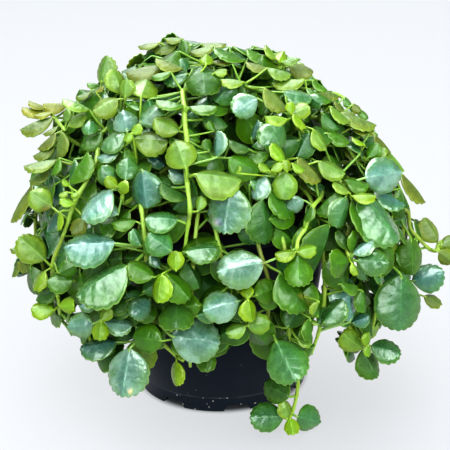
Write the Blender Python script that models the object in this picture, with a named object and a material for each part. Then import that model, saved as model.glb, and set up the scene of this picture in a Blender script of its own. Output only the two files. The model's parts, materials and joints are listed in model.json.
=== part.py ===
"""A trailing plant with round scalloped leaves, growing in a black nursery pot.

Lengths inside the plant rules are millimetres, and every mesh is made in metres.
The front of the plant looks towards -Y. Leaves and stems that can be told apart from
the front are listed by where they are seen from there; the rest follow a seeded rule.
"""

import math
import random

import bmesh
import bpy
from mathutils import Matrix, Vector
from mathutils.bvhtree import BVHTree

MM = 0.001

# Pot: radii and heights of the moulded wall.
POT_SEGMENTS = 40
POT_HEIGHT = 105.0
FOOT_RADIUS = 46.3
FOOT_STEP_HEIGHT = 8.5
FOOT_RECESS = 4.2
FOOT_RING_WIDTH = 7.0
NOTCH_WIDTH = 13.3
NOTCH_COUNT = 8
FIRST_NOTCH = -80.5
WALL = 1.5
LIP_HEIGHT = 8.0
LIP_RADIUS = 61.4
RIDGE_DROP = 18.0
DRAIN_RADIUS = 4.0
DRAIN_CIRCLE = 26.0
DRAIN_COUNT = 4

# Soil: a plug that fills the pot.
SOIL_TOP = 100.0
SOIL_GAP = 0.35
HOLE_DEPTH = 6.0
HOLE_RADIUS = 2.6
SOIL_SEGMENTS = 24
STEM_FOOT_GAP = 0.35

# Stems and blades.
STEM_SIDES = 3
STEM_RADIUS = 1.5
STEM_TIP_RADIUS = 1.0
STALK_RADIUS = 0.68
STALK_ROOT_RADIUS = 0.28
BLADE_THICKNESS = 1.3
BLADE_FOLD = 0.10
BLADE_ARCH = 0.05
WIDTH_TO_LENGTH = 0.86
CLEARANCE = 0.45
FLOOR_CLEARANCE = 1.0

# Foliage surface: a ball on a skirt that narrows towards the floor.
DOME_RADIUS = 110.0
DOME_CENTRE = 80.0
SKIRT_FOOT_RADIUS = 78.0

# Front view in which the listed leaves and stems are placed.
VIEW_DISTANCE = 750.0
VIEW_FOCAL = 1387.0
VIEW_MIDDLE = 225.0
VIEW_ELEVATION = math.radians(20.0)
VIEW_ROLL = math.radians(1.2)
VIEW_AIM = Vector((3.2, 0.0, 89.0))

SEED = 20
RULE_SPACING = 13.5
RULE_LENGTHS = (18.0, 29.0)
HIDDEN_ROOM = 17.0
FRONT_ROOM = 17.0
FRONT_FILL_DEPTH = 8.0
SMALLEST_LENGTH = 10.0
SEEN_REACH = 30.0
RULE_REACH = 34.0

# Outline of the plant and its pot in the front view, which the rule's leaves keep within.
PLANT_OUTLINE = (
    (18, 116), (37, 99), (76, 94), (88, 76), (94, 58), (108, 53), (119, 66), (131, 60), (148, 40),
    (180, 31), (212, 38), (246, 46), (286, 47), (308, 62), (320, 80), (336, 93), (348, 108),
    (366, 117), (376, 130), (385, 148), (399, 160), (406, 178), (410, 205), (440, 214),
    (472, 216), (472, 288), (440, 302), (424, 318), (398, 332), (399, 352), (383, 374),
    (354, 374), (340, 352), (334, 328), (316, 326), (312, 352), (300, 392), (250, 411),
    (178, 409), (146, 392), (122, 396), (104, 380), (99, 358), (78, 346), (62, 322), (32, 316),
    (30, 292), (12, 270), (20, 240), (40, 228), (8, 218), (20, 200), (30, 180), (33, 150),
    (42, 132),
)

# Stems that are seen from the front: u, v and lift above the foliage surface.
SEEN_STEMS = (
    ((183, 92, -3), (184, 108, 2), (185, 125, 3), (187, 142, 2), (186, 168, 2), (188, 190, 1),
     (190, 211, 0), (187, 232, -6), (184, 251, -10), (177, 264, -11), (167, 272, -11)),
    ((136, 150, -9), (138, 180, -7), (141, 206, -4), (144, 229, -4), (146, 252, -6),
     (148, 290, -13), (153, 320, -14), (162, 341, -14), (173, 353, -14), (184, 361, -13)),
    ((104, 148, -10), (96, 162, -4), (86, 182, -2), (77, 197, 0), (72, 209, 0), (66, 228, 0),
     (60, 244, -1), (53, 262, -1), (53, 280, -4), (58, 297, -2), (60, 314, -2)),
    ((253, 215, -12), (258, 244, -12), (263, 262, -10), (268, 280, -11), (268, 308, -12),
     (270, 330, -10), (283, 352, -8), (295, 374, -5), (298, 384, -3), (295, 403, -1),
     (290, 417, 1)),
    ((212, 215, -12), (216, 232, -9), (221, 256, -9), (231, 280, -14), (243, 300, -12),
     (247, 326, -9)),
    ((385, 205, -14), (407, 211, -5.5), (410, 228, -5.5), (420, 240, -1.2), (431, 250, 0),
     (440, 250, 1)),
    ((384, 235, -16), (392, 255, -10), (400, 270, -3), (403, 279, -1)),
    ((345, 222, -12), (344, 240, -8), (348, 254, -2), (352, 263, 0)),
    ((330, 170, -14), (340, 182, -6), (350, 195, 0)),
    ((346, 300, -17), (347, 322, -8), (357, 336, -4), (366, 347, 0)),
    ((118, 285, -13), (108, 300, -8), (104, 312, -2), (102, 322, 0)),
    ((74, 142, -10), (63, 128, -2), (54, 117, 1)),
    ((135, 162, -12), (134, 146, -4), (132, 134, 2)),
    ((280, 200, -13), (281, 186, -7), (280, 173, 0)),
    ((285, 88, -12), (282, 74, -6), (279, 61, -1)),
    ((320, 188, -11), (312, 208, -3), (305, 228, -2), (298, 240, -1), (297, 252, 1)),
    ((128, 202, -12), (122, 193, -4), (117, 187, 2)),
    ((300, 138, -12), (296, 125, -5), (292, 114, 1)),
    ((116, 262, -11), (124, 274, -6), (129, 267, -2)),
)

# Other stems: count, first angle, hole radius, then height and radius along the way.
RULE_STEMS = (
    (1, 250.0, 3.0, ((130, 4), (160, 5), (176, 9), (184, 18))),
    (4, 20.0, 9.0, ((130, 11), (156, 15), (172, 25), (175, 42))),
    (10, 4.0, 26.0, ((122, 30), (143, 42), (158, 58), (152, 72), (139, 84))),
    (17, 9.0, 44.0, ((116, 52), (128, 66), (126, 82), (111, 94), (90, 99), (68, 97), (47, 92))),
)

# Leaves as seen from the front: base u, base v, tip u, tip v, width, lift, tone.
SEEN_LEAVES = (
    # upper left
    (101, 84, 107, 56, 20, 2, "l"),
    (121, 94, 113, 69, 18, 1, "l"),
    (125, 98, 126, 79, 15, 3, "l"),
    (99, 85, 87, 83, 6, 0, "m"),
    (91, 92, 76, 97, 6, -2, "o"),
    (118, 99, 93, 112, 21, 3, "l"),
    (48, 112, 22, 108, 9, 2, "o"),
    (46, 108, 29, 101, 6, 0, "o"),
    (67, 105, 43, 104, 11, -3, "l"),
    (90, 110, 63, 99, 10, 2, "l"),
    (53, 117, 20, 129, 12, 2, "o"),
    (68, 126, 85, 113, 13, 2, "g"),
    (66, 123, 66, 109, 9, -2, "l"),
    (90, 120, 90, 135, 16, 3, "g"),
    (58, 126, 43, 134, 5, -2, "o"),
    (56, 133, 38, 149, 9, 0, "o"),
    (61, 131, 57, 158, 13, 3, "o"),
    (55, 146, 33, 156, 8, -1, "o"),
    (57, 160, 24, 166, 9, 0, "o"),
    (49, 168, 29, 181, 12, -2, "o"),
    (59, 158, 51, 175, 9, 2, "m"),
    (33, 184, 10, 221, 7, -1, "o"),
    (52, 207, 30, 192, 22, 3, "l"),
    (55, 176, 55, 206, 14, -5, "b"),
    (69, 183, 88, 153, 17, 3, "m"),
    (102, 132, 81, 146, 16, -3, "m"),
    (125, 133, 101, 149, 19, 3, "g"),
    (119, 150, 97, 158, 12, -5, "b"),
    (74, 204, 60, 199, 8, 4, "y"),
    (58, 212, 48, 232, 13, -5, "b"),
    (60, 211, 57, 231, 6, 3, "y"),
    (113, 184, 102, 166, 18, 1, "g"),
    (117, 187, 106, 177, 12, 6, "y"),
    (117, 187, 129, 187, 13, 6, "y"),
    (112, 190, 82, 219, 27, 4, "p"),
    (118, 215, 106, 205, 12, -2, "g"),
    (85, 219, 72, 234, 16, 0, "o"),
    # top
    (183, 39, 165, 38, 6, -6, "o"),
    (177, 44, 152, 47, 14, -2, "o"),
    (181, 60, 181, 40, 11, -4, "m"),
    (160, 43, 138, 46, 6, -4, "o"),
    (160, 52, 142, 56, 7, -5, "d"),
    (183, 69, 156, 58, 10, -1, "o"),
    (163, 65, 126, 73, 17, 1, "o"),
    (141, 97, 146, 76, 28, 4, "l"),
    (171, 72, 151, 76, 7, 2, "m"),
    (188, 74, 163, 80, 16, 1, "m"),
    (202, 65, 206, 97, 34, 4, "d"),
    (206, 65, 206, 53, 13, 6, "y"),
    (187, 72, 182, 58, 12, -3, "g"),
    (214, 46, 190, 52, 9, -1, "o"),
    (200, 44, 226, 44, 6, -4, "o"),
    (246, 61, 214, 47, 8, -1, "m"),
    (212, 62, 233, 57, 8, -2, "o"),
    (214, 73, 227, 70, 9, 3, "y"),
    (244, 82, 221, 79, 9, 5, "l"),
    (184, 106, 156, 100, 8, 6, "l"),
    (189, 107, 217, 106, 9, 5, "m"),
    (123, 98, 160, 104, 9, 2, "g"),
    (139, 124, 161, 106, 21, 3, "g"),
    (127, 132, 122, 109, 24, 4, "g"),
    (114, 112, 135, 104, 11, -5, "d"),
    (158, 102, 173, 112, 10, -7, "d"),
    (181, 112, 169, 105, 10, -8, "b"),
    (180, 131, 154, 119, 20, -1, "g"),
    (188, 129, 196, 111, 12, -8, "d"),
    (203, 111, 227, 127, 18, 0, "d"),
    (242, 83, 223, 110, 25, -3, "d"),
    (214, 131, 209, 121, 8, 1, "m"),
    # upper right
    (270, 62, 247, 49, 9, -3, "m"),
    (278, 60, 266, 45, 8, -1, "l"),
    (279, 61, 284, 50, 15, 0, "m"),
    (281, 62, 297, 58, 7, 2, "l"),
    (269, 69, 246, 62, 8, -1, "o"),
    (289, 66, 313, 72, 17, -1, "o"),
    (267, 68, 291, 75, 12, -2, "m"),
    (305, 80, 272, 83, 14, 3, "l"),
    (264, 88, 287, 110, 16, 4, "o"),
    (297, 71, 314, 84, 9, -1, "m"),
    (312, 80, 327, 90, 8, -2, "d"),
    (283, 92, 312, 99, 18, 0, "g"),
    (306, 88, 331, 101, 9, 1, "m"),
    (316, 88, 339, 96, 8, -3, "o"),
    (308, 96, 322, 105, 15, 0, "g"),
    (257, 98, 233, 113, 25, 4, "p"),
    (268, 100, 260, 115, 12, -2, "m"),
    (291, 114, 291, 102, 10, 6, "y"),
    (292, 114, 310, 107, 16, 4, "l"),
    (288, 119, 265, 116, 12, 4, "y"),
    (293, 114, 306, 128, 9, 6, "y"),
    (322, 113, 339, 129, 16, -2, "d"),
    (283, 124, 262, 147, 29, 3, "g"),
    (251, 140, 258, 120, 10, -6, "b"),
    (341, 113, 376, 125, 11, -2, "o"),
    (345, 112, 335, 101, 5, -3, "o"),
    (341, 112, 355, 113, 6, -4, "o"),
    (330, 106, 350, 122, 7, 1, "m"),
    # centre
    (132, 134, 141, 125, 10, 7, "y"),
    (132, 133, 124, 141, 8, 7, "y"),
    (134, 139, 168, 142, 24, 2, "l"),
    (186, 168, 175, 139, 31, 5, "l"),
    (187, 127, 200, 142, 8, 0, "m"),
    (193, 152, 211, 161, 16, 2, "m"),
    (209, 151, 206, 139, 10, 2, "y"),
    (217, 157, 218, 131, 13, 4, "p"),
    (195, 174, 241, 181, 28, 5, "l"),
    (228, 158, 259, 172, 26, 0, "m"),
    (231, 185, 224, 234, 41, 3, "p"),
    (126, 180, 127, 157, 22, 2, "g"),
    (148, 152, 165, 166, 13, -7, "b"),
    (142, 170, 147, 208, 31, 2, "b"),
    (188, 198, 161, 184, 14, -6, "d"),
    (190, 179, 169, 170, 15, -2, "b"),
    (190, 180, 197, 197, 12, -6, "d"),
    (198, 211, 201, 196, 11, 1, "l"),
    (178, 220, 145, 219, 21, 0, "g"),
    (136, 221, 112, 223, 13, -3, "m"),
    (251, 150, 229, 140, 10, -2, "d"),
    (270, 152, 243, 157, 15, 0, "m"),
    (309, 132, 297, 158, 22, 1, "g"),
    (313, 129, 326, 150, 14, 2, "l"),
    (327, 133, 349, 142, 14, -2, "m"),
    (285, 162, 272, 143, 13, 3, "l"),
    (270, 171, 259, 163, 8, 6, "y"),
    (271, 171, 282, 163, 9, 6, "y"),
    (287, 172, 287, 160, 9, 7, "y"),
    (292, 163, 305, 170, 8, 6, "y"),
    (266, 176, 253, 199, 18, 2, "p"),
    (285, 171, 285, 200, 25, 4, "l"),
    (272, 186, 290, 218, 17, -2, "o"),
    (304, 200, 286, 208, 17, -4, "p"),
    (298, 158, 321, 181, 17, -1, "o"),
    (318, 161, 345, 174, 18, 1, "l"),
    (340, 190, 315, 213, 16, 1, "o"),
    (304, 222, 312, 207, 8, 2, "l"),
    (262, 200, 265, 244, 30, 0, "d"),
    # right
    (352, 127, 374, 131, 7, -3, "d"),
    (365, 145, 352, 137, 6, 2, "y"),
    (368, 158, 378, 143, 13, 0, "m"),
    (371, 160, 385, 148, 11, -2, "l"),
    (366, 158, 345, 149, 13, -4, "d"),
    (365, 178, 404, 171, 37, 4, "p"),
    (374, 134, 391, 152, 6, -4, "o"),
    (388, 151, 404, 171, 9, -3, "o"),
    (402, 174, 425, 202, 7, -5, "o"),
    (345, 180, 369, 186, 14, -1, "m"),
    (350, 193, 333, 181, 10, 4, "p"),
    (352, 196, 376, 196, 11, 5, "y"),
    (346, 197, 337, 228, 22, 4, "g"),
    (352, 200, 371, 236, 12, 0, "m"),
    (361, 194, 399, 242, 38, 3, "p"),
    (373, 189, 405, 205, 12, -3, "b"),
    (438, 242, 424, 218, 20, -2, "o"),
    (441, 240, 444, 250, 8, 4, "y"),
    (439, 252, 454, 262, 16, 1, "o"),
    (441, 246, 458, 236, 14, -2, "o"),
    (411, 238, 412, 275, 30, 1, "d"),
    (412, 281, 444, 272, 27, -3, "b"),
    (401, 275, 399, 331, 47, 4, "g"),
    (424, 296, 442, 304, 12, -5, "o"),
    (352, 253, 358, 230, 11, -1, "g"),
    (353, 254, 373, 240, 13, 2, "p"),
    (357, 261, 389, 262, 26, 5, "p"),
    (352, 263, 358, 275, 8, 7, "y"),
    (349, 262, 329, 264, 27, 4, "m"),
    (330, 224, 313, 274, 25, -4, "d"),
    # left low
    (45, 260, 19, 237, 27, 3, "l"),
    (45, 271, 33, 290, 14, 3, "y"),
    (29, 246, 10, 249, 6, -3, "o"),
    (22, 257, 28, 272, 15, -2, "o"),
    (18, 262, 12, 277, 6, -3, "o"),
    (55, 268, 64, 241, 14, 2, "m"),
    (58, 273, 76, 265, 17, 3, "m"),
    (73, 281, 47, 282, 19, -1, "d"),
    (57, 288, 36, 300, 14, -4, "d"),
    (54, 310, 31, 309, 16, 3, "l"),
    (59, 306, 75, 305, 16, 3, "y"),
    (115, 243, 64, 247, 34, 3, "b"),
    (128, 266, 76, 296, 37, 5, "g"),
    (93, 324, 66, 328, 25, 3, "g"),
    (117, 342, 80, 349, 19, -3, "d"),
    (101, 321, 109, 307, 12, 6, "y"),
    (101, 321, 100, 340, 17, 6, "y"),
    (105, 323, 132, 326, 18, 1, "g"),
    (128, 300, 112, 312, 14, -6, "d"),
    (98, 300, 79, 306, 13, -6, "b"),
    (130, 348, 122, 397, 41, 3, "p"),
    (162, 341, 132, 338, 29, 3, "m"),
    # front
    (141, 246, 133, 229, 13, 1, "g"),
    (172, 252, 148, 234, 25, 2, "l"),
    (176, 271, 175, 251, 17, 4, "y"),
    (154, 277, 128, 264, 19, 2, "g"),
    (160, 268, 152, 254, 11, -4, "b"),
    (185, 252, 217, 248, 20, 1, "g"),
    (186, 262, 200, 288, 20, -7, "d"),
    (162, 274, 158, 303, 20, 3, "y"),
    (166, 274, 190, 299, 25, 2, "m"),
    (176, 300, 178, 327, 34, -6, "d"),
    (150, 300, 133, 315, 23, -6, "b"),
    (264, 263, 217, 272, 39, 4, "p"),
    (239, 301, 203, 311, 31, 0, "p"),
    (171, 336, 220, 343, 42, 0, "p"),
    (204, 350, 208, 371, 20, -8, "m"),
    (213, 341, 226, 335, 12, -5, "m"),
    (176, 361, 176, 386, 14, -8, "y"),
    (292, 248, 289, 223, 29, 2, "m"),
    (296, 252, 275, 254, 12, 5, "y"),
    (297, 252, 316, 247, 13, 5, "y"),
    (298, 256, 298, 286, 28, 4, "m"),
    (280, 272, 304, 311, 28, -2, "o"),
    (249, 298, 246, 285, 13, 3, "y"),
    (255, 296, 279, 287, 25, 1, "g"),
    (248, 299, 252, 322, 17, 3, "y"),
    (247, 326, 270, 322, 20, 0, "l"),
    (246, 326, 226, 333, 14, 0, "m"),
    (241, 322, 231, 303, 15, -6, "d"),
    (287, 328, 299, 302, 25, 0, "g"),
    (305, 322, 310, 348, 14, -6, "o"),
    (318, 317, 315, 301, 9, 2, "y"),
    (322, 324, 343, 300, 21, 0, "g"),
    (350, 322, 346, 276, 30, 0, "b"),
    (362, 290, 364, 313, 14, -5, "o"),
    (352, 323, 369, 316, 14, -3, "b"),
    (368, 306, 372, 336, 14, -7, "d"),
    (276, 341, 295, 379, 40, 3, "m"),
    (289, 397, 265, 385, 27, 0, "d"),
    (363, 349, 341, 333, 25, 3, "l"),
    (371, 346, 401, 354, 22, 3, "g"),
    (367, 347, 369, 332, 9, 6, "y"),
    (368, 345, 369, 357, 8, 6, "y"),
    (362, 350, 377, 378, 24, 0, "d"),
    # lowest tip
    (284, 416, 250, 418, 28, 3, "g"),
    (288, 420, 284, 401, 14, 5, "l"),
    (290, 418, 293, 434, 15, 5, "y"),
    (298, 417, 322, 424, 26, 3, "g"),
)


class Layout:
    """Front view of the plant: turns a seen place into a point on the foliage."""

    def __init__(self):
        level = Vector((0.0, math.sin(VIEW_ELEVATION), math.cos(VIEW_ELEVATION)))
        across = Vector((1.0, 0.0, 0.0))
        self.toward = Vector((0.0, -math.cos(VIEW_ELEVATION), math.sin(VIEW_ELEVATION)))
        self.right = across * math.cos(VIEW_ROLL) - level * math.sin(VIEW_ROLL)
        self.up = level * math.cos(VIEW_ROLL) + across * math.sin(VIEW_ROLL)
        self.eye = VIEW_AIM + self.toward * VIEW_DISTANCE

    def ray(self, u, v):
        """Direction from the eye through a seen place."""
        side = (u - VIEW_MIDDLE) / VIEW_FOCAL
        rise = (VIEW_MIDDLE - v) / VIEW_FOCAL
        return (self.right * side + self.up * rise - self.toward).normalized()

    def spot(self, u, v, lift):
        """Point on the foliage surface, raised by lift, that is seen at u, v."""
        way = self.ray(u, v)
        best, best_gap = None, 1e9
        for step in range(260):
            point = self.eye + way * (VIEW_DISTANCE - 190.0 + 1.5 * step)
            gap = outside(point) - lift
            if gap <= 0.0:
                return point
            if gap < best_gap:
                best, best_gap = point, gap
        return best

    def seen(self, point):
        """Seen place u, v of a point."""
        ray = point - self.eye
        depth = -ray.dot(self.toward)
        return (VIEW_MIDDLE + VIEW_FOCAL * ray.dot(self.right) / depth,
                VIEW_MIDDLE - VIEW_FOCAL * ray.dot(self.up) / depth)

    def scale(self, point):
        """Millimetres per unit of the front view at a point."""
        return -(point - self.eye).dot(self.toward) / VIEW_FOCAL


def outside(point):
    """Distance of a point outside the foliage surface, negative inside."""
    if point.z >= DOME_CENTRE:
        return (point - Vector((0.0, 0.0, DOME_CENTRE))).length - DOME_RADIUS
    slope = (DOME_RADIUS - SKIRT_FOOT_RADIUS) / DOME_CENTRE
    return math.hypot(point.x, point.y) - SKIRT_FOOT_RADIUS - slope * point.z


def outward(point):
    """Direction straight out of the foliage at a point."""
    middle = Vector((0.0, 0.0, min(DOME_CENTRE, point.z)))
    return (point - middle).normalized()


def curve_point(points, place):
    """Smooth curve through the points; place runs from 0 to one less than their count."""
    first = min(int(place), len(points) - 2)
    t = place - first
    p1, p2 = points[first], points[first + 1]
    p0 = points[first - 1] if first else p1 * 2 - p2
    p3 = points[first + 2] if first + 2 < len(points) else p2 * 2 - p1
    a = p2 - p0
    b = p0 * 2 - p1 * 5 + p2 * 4 - p3
    c = p1 * 3 - p0 - p2 * 3 + p3
    return (p1 * 2 + a * t + b * (t * t) + c * (t ** 3)) * 0.5


def tube(points, radii, sides):
    """Closed tube along the points: its vertices and faces."""
    verts, faces = [], []
    side = None
    for i, point in enumerate(points):
        ahead = points[min(i + 1, len(points) - 1)] - points[max(i - 1, 0)]
        ahead.normalize()
        if side is None:
            side = ahead.orthogonal().normalized()
        side = (side - ahead * side.dot(ahead)).normalized()
        other = ahead.cross(side)
        for k in range(sides):
            turn = 2.0 * math.pi * k / sides
            verts.append(point + (side * math.cos(turn) + other * math.sin(turn)) * radii[i])
    for i in range(len(points) - 1):
        for k in range(sides):
            a, b = i * sides + k, i * sides + (k + 1) % sides
            faces.append((a, b, b + sides))
            faces.append((a, b + sides, a + sides))
    last = (len(points) - 1) * sides
    for k in range(1, sides - 1):
        faces.append((0, k + 1, k))
        faces.append((last, last + k, last + k + 1))
    return verts, faces


# Half outlines of a blade: share of the length, share of the half width.
BIG_OUTLINE = ((0.20, 0.68), (0.44, 1.0), (0.63, 1.0), (0.69, 0.89), (0.86, 0.74), (0.91, 0.52))
MIDDLE_OUTLINE = ((0.22, 0.70), (0.50, 1.0), (0.76, 0.88), (0.83, 0.66))
SMALL_OUTLINE = ((0.26, 0.76), (0.58, 1.0), (0.86, 0.70))


def outline_for(length):
    """Half outline of a blade of this length."""
    if length > 22.0:
        return BIG_OUTLINE
    if length > 12.0:
        return MIDDLE_OUTLINE
    return SMALL_OUTLINE


def strip(left, right):
    """Triangles between two chains of (share, index) that end in the same vertex."""
    faces = []
    i = j = 0
    while i < len(left) - 1 or j < len(right) - 1:
        step_left = j == len(right) - 1
        if not step_left and i < len(left) - 1:
            step_left = left[i + 1][0] <= right[j + 1][0]
        if step_left:
            face = (left[i][1], left[i + 1][1], right[j][1])
            i += 1
        else:
            face = (left[i][1], right[j + 1][1], right[j][1])
            j += 1
        if len(set(face)) == 3:
            faces.append(face)
    return faces


def leaf_solid(frame, root, length, width, extra):
    """Folded scalloped blade on its stalk, one closed solid; the stalk's six corners first."""
    fold, thick = BLADE_FOLD * width, BLADE_THICKNESS * 0.5 + extra
    stalk = STALK_RADIUS + extra
    base, side, up = frame.translation, frame.col[1].xyz, frame.col[2].xyz
    way = (base - root).normalized() if (base - root).length > 0.5 else frame.col[0].xyz
    start = root + way * 0.15
    fine = STALK_ROOT_RADIUS + extra
    cross = way - side * way.dot(side)
    low = side.cross(cross.normalized()) if cross.length > 0.2 else -up
    verts = [start + side * fine, start - side * fine, start + low * fine * 1.3,
             base + side * stalk * 1.1, base - side * stalk * 1.1, base - up * thick * 1.6,
             frame @ Vector((length, 0.0, -0.3 * fold)),
             frame @ Vector((0.5 * length, 0.0, BLADE_ARCH * length + thick)),
             frame @ Vector((0.5 * length, 0.0, BLADE_ARCH * length - thick))]
    chains = []
    for sign in (1.0, -1.0):
        chain = [(-0.5, 0 if sign > 0 else 1), (0.0, 3 if sign > 0 else 4)]
        for t, share in outline_for(length):
            chain.append((t, len(verts)))
            arch = 4.0 * BLADE_ARCH * length * t * (1.0 - t)
            verts.append(frame @ Vector((t * length, sign * share * width * 0.5,
                                         arch - fold * share)))
        chains.append(chain + [(1.0, 6)])
    left, right = chains
    faces = [(0, 1, 4), (0, 4, 3), (0, 2, 1), (3, 4, 7)]
    faces += strip(left[1:], [(0.5, 7), (1.0, 6)]) + strip(right[1:], [(0.5, 7), (1.0, 6)])
    below = [(-0.5, 2), (0.0, 5), (0.5, 8), (1.0, 6)]
    return verts, faces + strip(left, below) + strip(right, below)


class Stem:
    """One stem: its smooth route and the solids that grow on it."""

    def __init__(self, name, points, steps):
        self.name = name
        places = [1.0 + k * (len(points) - 2) / (steps - 1) for k in range(steps)]
        self.points = [points[0]] + [curve_point(points, place) for place in places]
        self.leaves = []
        self.hole = Vector((points[0].x, points[0].y, SOIL_TOP))

    def radii(self, extra=0.0):
        """Radius at each point, thinner towards the tip."""
        count = len(self.points) - 1
        thin = STEM_RADIUS - STEM_TIP_RADIUS
        return [STEM_RADIUS - thin * i / count + extra for i in range(count + 1)]

    def solid(self, extra=0.0):
        """Closed tube of this stem."""
        return tube(self.points, self.radii(extra), STEM_SIDES)

    def nearest(self, point):
        """Closest place on the stem above the soil, and its distance."""
        best, best_gap = None, 1e9
        last = len(self.points) - 2
        for i, (a, b) in enumerate(zip(self.points, self.points[1:])):
            if a.z < SOIL_TOP + 6.0 and math.hypot(a.x, a.y) < LIP_RADIUS:
                continue
            along = b - a
            limit = 1.0 - 2.0 / along.length if i == last else 1.0
            t = max(0.0, min(limit, (point - a).dot(along) / along.length_squared))
            place = a + along * t
            if (place - point).length < best_gap:
                best, best_gap = place, (place - point).length
        return best, best_gap


class Leaf:
    """One leaf: where its blade starts, which way it points and its size."""

    def __init__(self, base, ahead, face, length, width, tone):
        self.base = base
        self.ahead = ahead.normalized()
        self.face = (face - self.ahead * face.dot(self.ahead)).normalized()
        self.length = length
        self.width = width
        self.tone = tone
        self.root = None

    def middle(self):
        """Middle of the blade."""
        return self.base + self.ahead * (0.5 * self.length)

    def frame(self):
        """Matrix that carries the blade's own axes to the plant."""
        side = self.face.cross(self.ahead)
        rows = Matrix((self.ahead, side, self.face)).transposed()
        return Matrix.Translation(self.base) @ rows.to_4x4()

    def solid(self, extra=0.0):
        """Placed blade and stalk, thicker by extra."""
        grow = 1.0 + extra * 0.04
        return leaf_solid(self.frame(), self.root, self.length * grow, self.width * grow, extra)

    def slim(self):
        """Placed blade without its stalk."""
        verts, faces = self.solid(0.1)
        return verts, [face for face in faces if min(face) > 5]


class Field:
    """Solids already placed, with fast tests for a crossing."""

    def __init__(self):
        self.rows = []

    def add(self, owner, solid, kind):
        """Remember a solid that belongs to owner."""
        self.rows.append((owner, kind) + self.packed(solid))

    @staticmethod
    def packed(solid):
        """Search tree of a solid with its lowest and highest corner."""
        verts, faces = solid
        low = Vector([min(v[i] for v in verts) for i in range(3)])
        high = Vector([max(v[i] for v in verts) for i in range(3)])
        return BVHTree.FromPolygons(verts, faces), low, high

    def crosses(self, solid, kinds, own=None, others=None):
        """True if the solid crosses one of these kinds, of own alone or of all but others."""
        tree, low, high = self.packed(solid)
        for owner, kind, other, other_low, other_high in self.rows:
            if kind not in kinds or owner == others or own not in (None, owner):
                continue
            if any(low[i] > other_high[i] or high[i] < other_low[i] for i in range(3)):
                continue
            if tree.overlap(other):
                return True
        return False


def route_from_soil(points, hole_radius, turn):
    """Route that starts upright in the soil and leads over the rim to the points."""
    first = points[0]
    angle = math.atan2(first.y, first.x) + turn
    reach = math.hypot(first.x, first.y)
    foot = SOIL_TOP - HOLE_DEPTH + STEM_FOOT_GAP

    def at(radius, height):
        return Vector((radius * math.cos(angle), radius * math.sin(angle), height))

    route = [at(hole_radius, foot), at(hole_radius, SOIL_TOP + 5.0)]
    if reach > LIP_RADIUS + 6.0 and first.z < 135.0:
        route.append(at(max(hole_radius + 6.0, 0.62 * reach), max(first.z + 12.0, 126.0)))
    elif first.z > 120.0:
        height = 0.45 * SOIL_TOP + 0.55 * first.z
        route.append(at(hole_radius + (reach - hole_radius) * 0.35, height))
    return route + list(points)


def seen_stems(layout, field, stems):
    """Stems that can be followed from the front."""
    for row in SEEN_STEMS:
        points = [layout.spot(*place) for place in row]
        plant_stem(points, field, stems, min(13, len(row) + 4), None)


def rule_stems(field, stems):
    """Stems that fill the rest of the pot, ring by ring."""
    rng = random.Random(SEED)
    for count, first, hole, way in RULE_STEMS:
        for k in range(count):
            angle = math.radians(first + 360.0 * k / count + rng.uniform(-4.0, 4.0))
            bend = rng.uniform(-0.10, 0.10)
            points = []
            for j, (height, radius) in enumerate(way):
                swing = angle + bend * j / len(way)
                radius += rng.uniform(-1.5, 1.5)
                points.append(Vector((radius * math.cos(swing), radius * math.sin(swing),
                                      height + rng.uniform(-2.0, 2.0))))
            plant_stem(points, field, stems, len(way) + 2, hole + rng.uniform(-2.0, 2.0))


def plant_stem(points, field, stems, steps, hole):
    """Plant one stem, turning its foot until nothing is crossed."""
    reach = math.hypot(points[0].x, points[0].y)
    for turn in (0.0, 0.09, -0.09, 0.18, -0.18, 0.27, -0.27, 0.36, -0.36):
        for shift in (0.0, -5.0, 4.0, -9.0):
            radius = (hole or min(49.0, max(8.0, 0.42 * reach))) + shift
            stem = Stem("leafy_stem_%02d" % (len(stems) + 1),
                        route_from_soil(points, min(50.0, max(5.0, radius)), turn), steps)
            near = any((stem.hole - other.hole).length < 2.0 * HOLE_RADIUS + 0.8
                       for other in stems)
            if near or field.crosses(stem.solid(CLEARANCE + 0.3), ("stem", "leaf")):
                continue
            field.add(stem.name, stem.solid(), "stem")
            stems.append(stem)
            return


def seen_leaf(layout, row, shift):
    """Leaf that shows the listed base, tip and width from the front."""
    base_u, base_v, tip_u, tip_v, wide, lift, tone = row
    base = layout.spot(base_u, base_v, lift + shift)
    scale = layout.scale(base)
    flat = (layout.right * (tip_u - base_u) - layout.up * (tip_v - base_v)) * scale
    shown, width = flat.length, wide * scale
    along = flat.normalized()
    across = layout.toward.cross(along)
    wish = (outward(base + flat * 0.5) * 0.5 + Vector((0.0, 0.0, 0.55))).normalized()
    options = []
    for sign in (1.0, -1.0):
        if width <= WIDTH_TO_LENGTH * shown:
            lean = math.acos(max(0.25, width / (WIDTH_TO_LENGTH * shown)))
            face = layout.toward * math.cos(lean) + across * (sign * math.sin(lean))
            options.append((along, face, shown))
        else:
            length = min(width / WIDTH_TO_LENGTH, 2.0 * shown)
            lean = math.acos(shown / length)
            ahead = along * math.cos(lean) + layout.toward * (sign * math.sin(lean))
            options.append((ahead, ahead.cross(across), length))
    ahead, face, length = max(options, key=lambda o: o[1].dot(wish))
    return Leaf(base, ahead, face, length, WIDTH_TO_LENGTH * length, tone)


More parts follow.
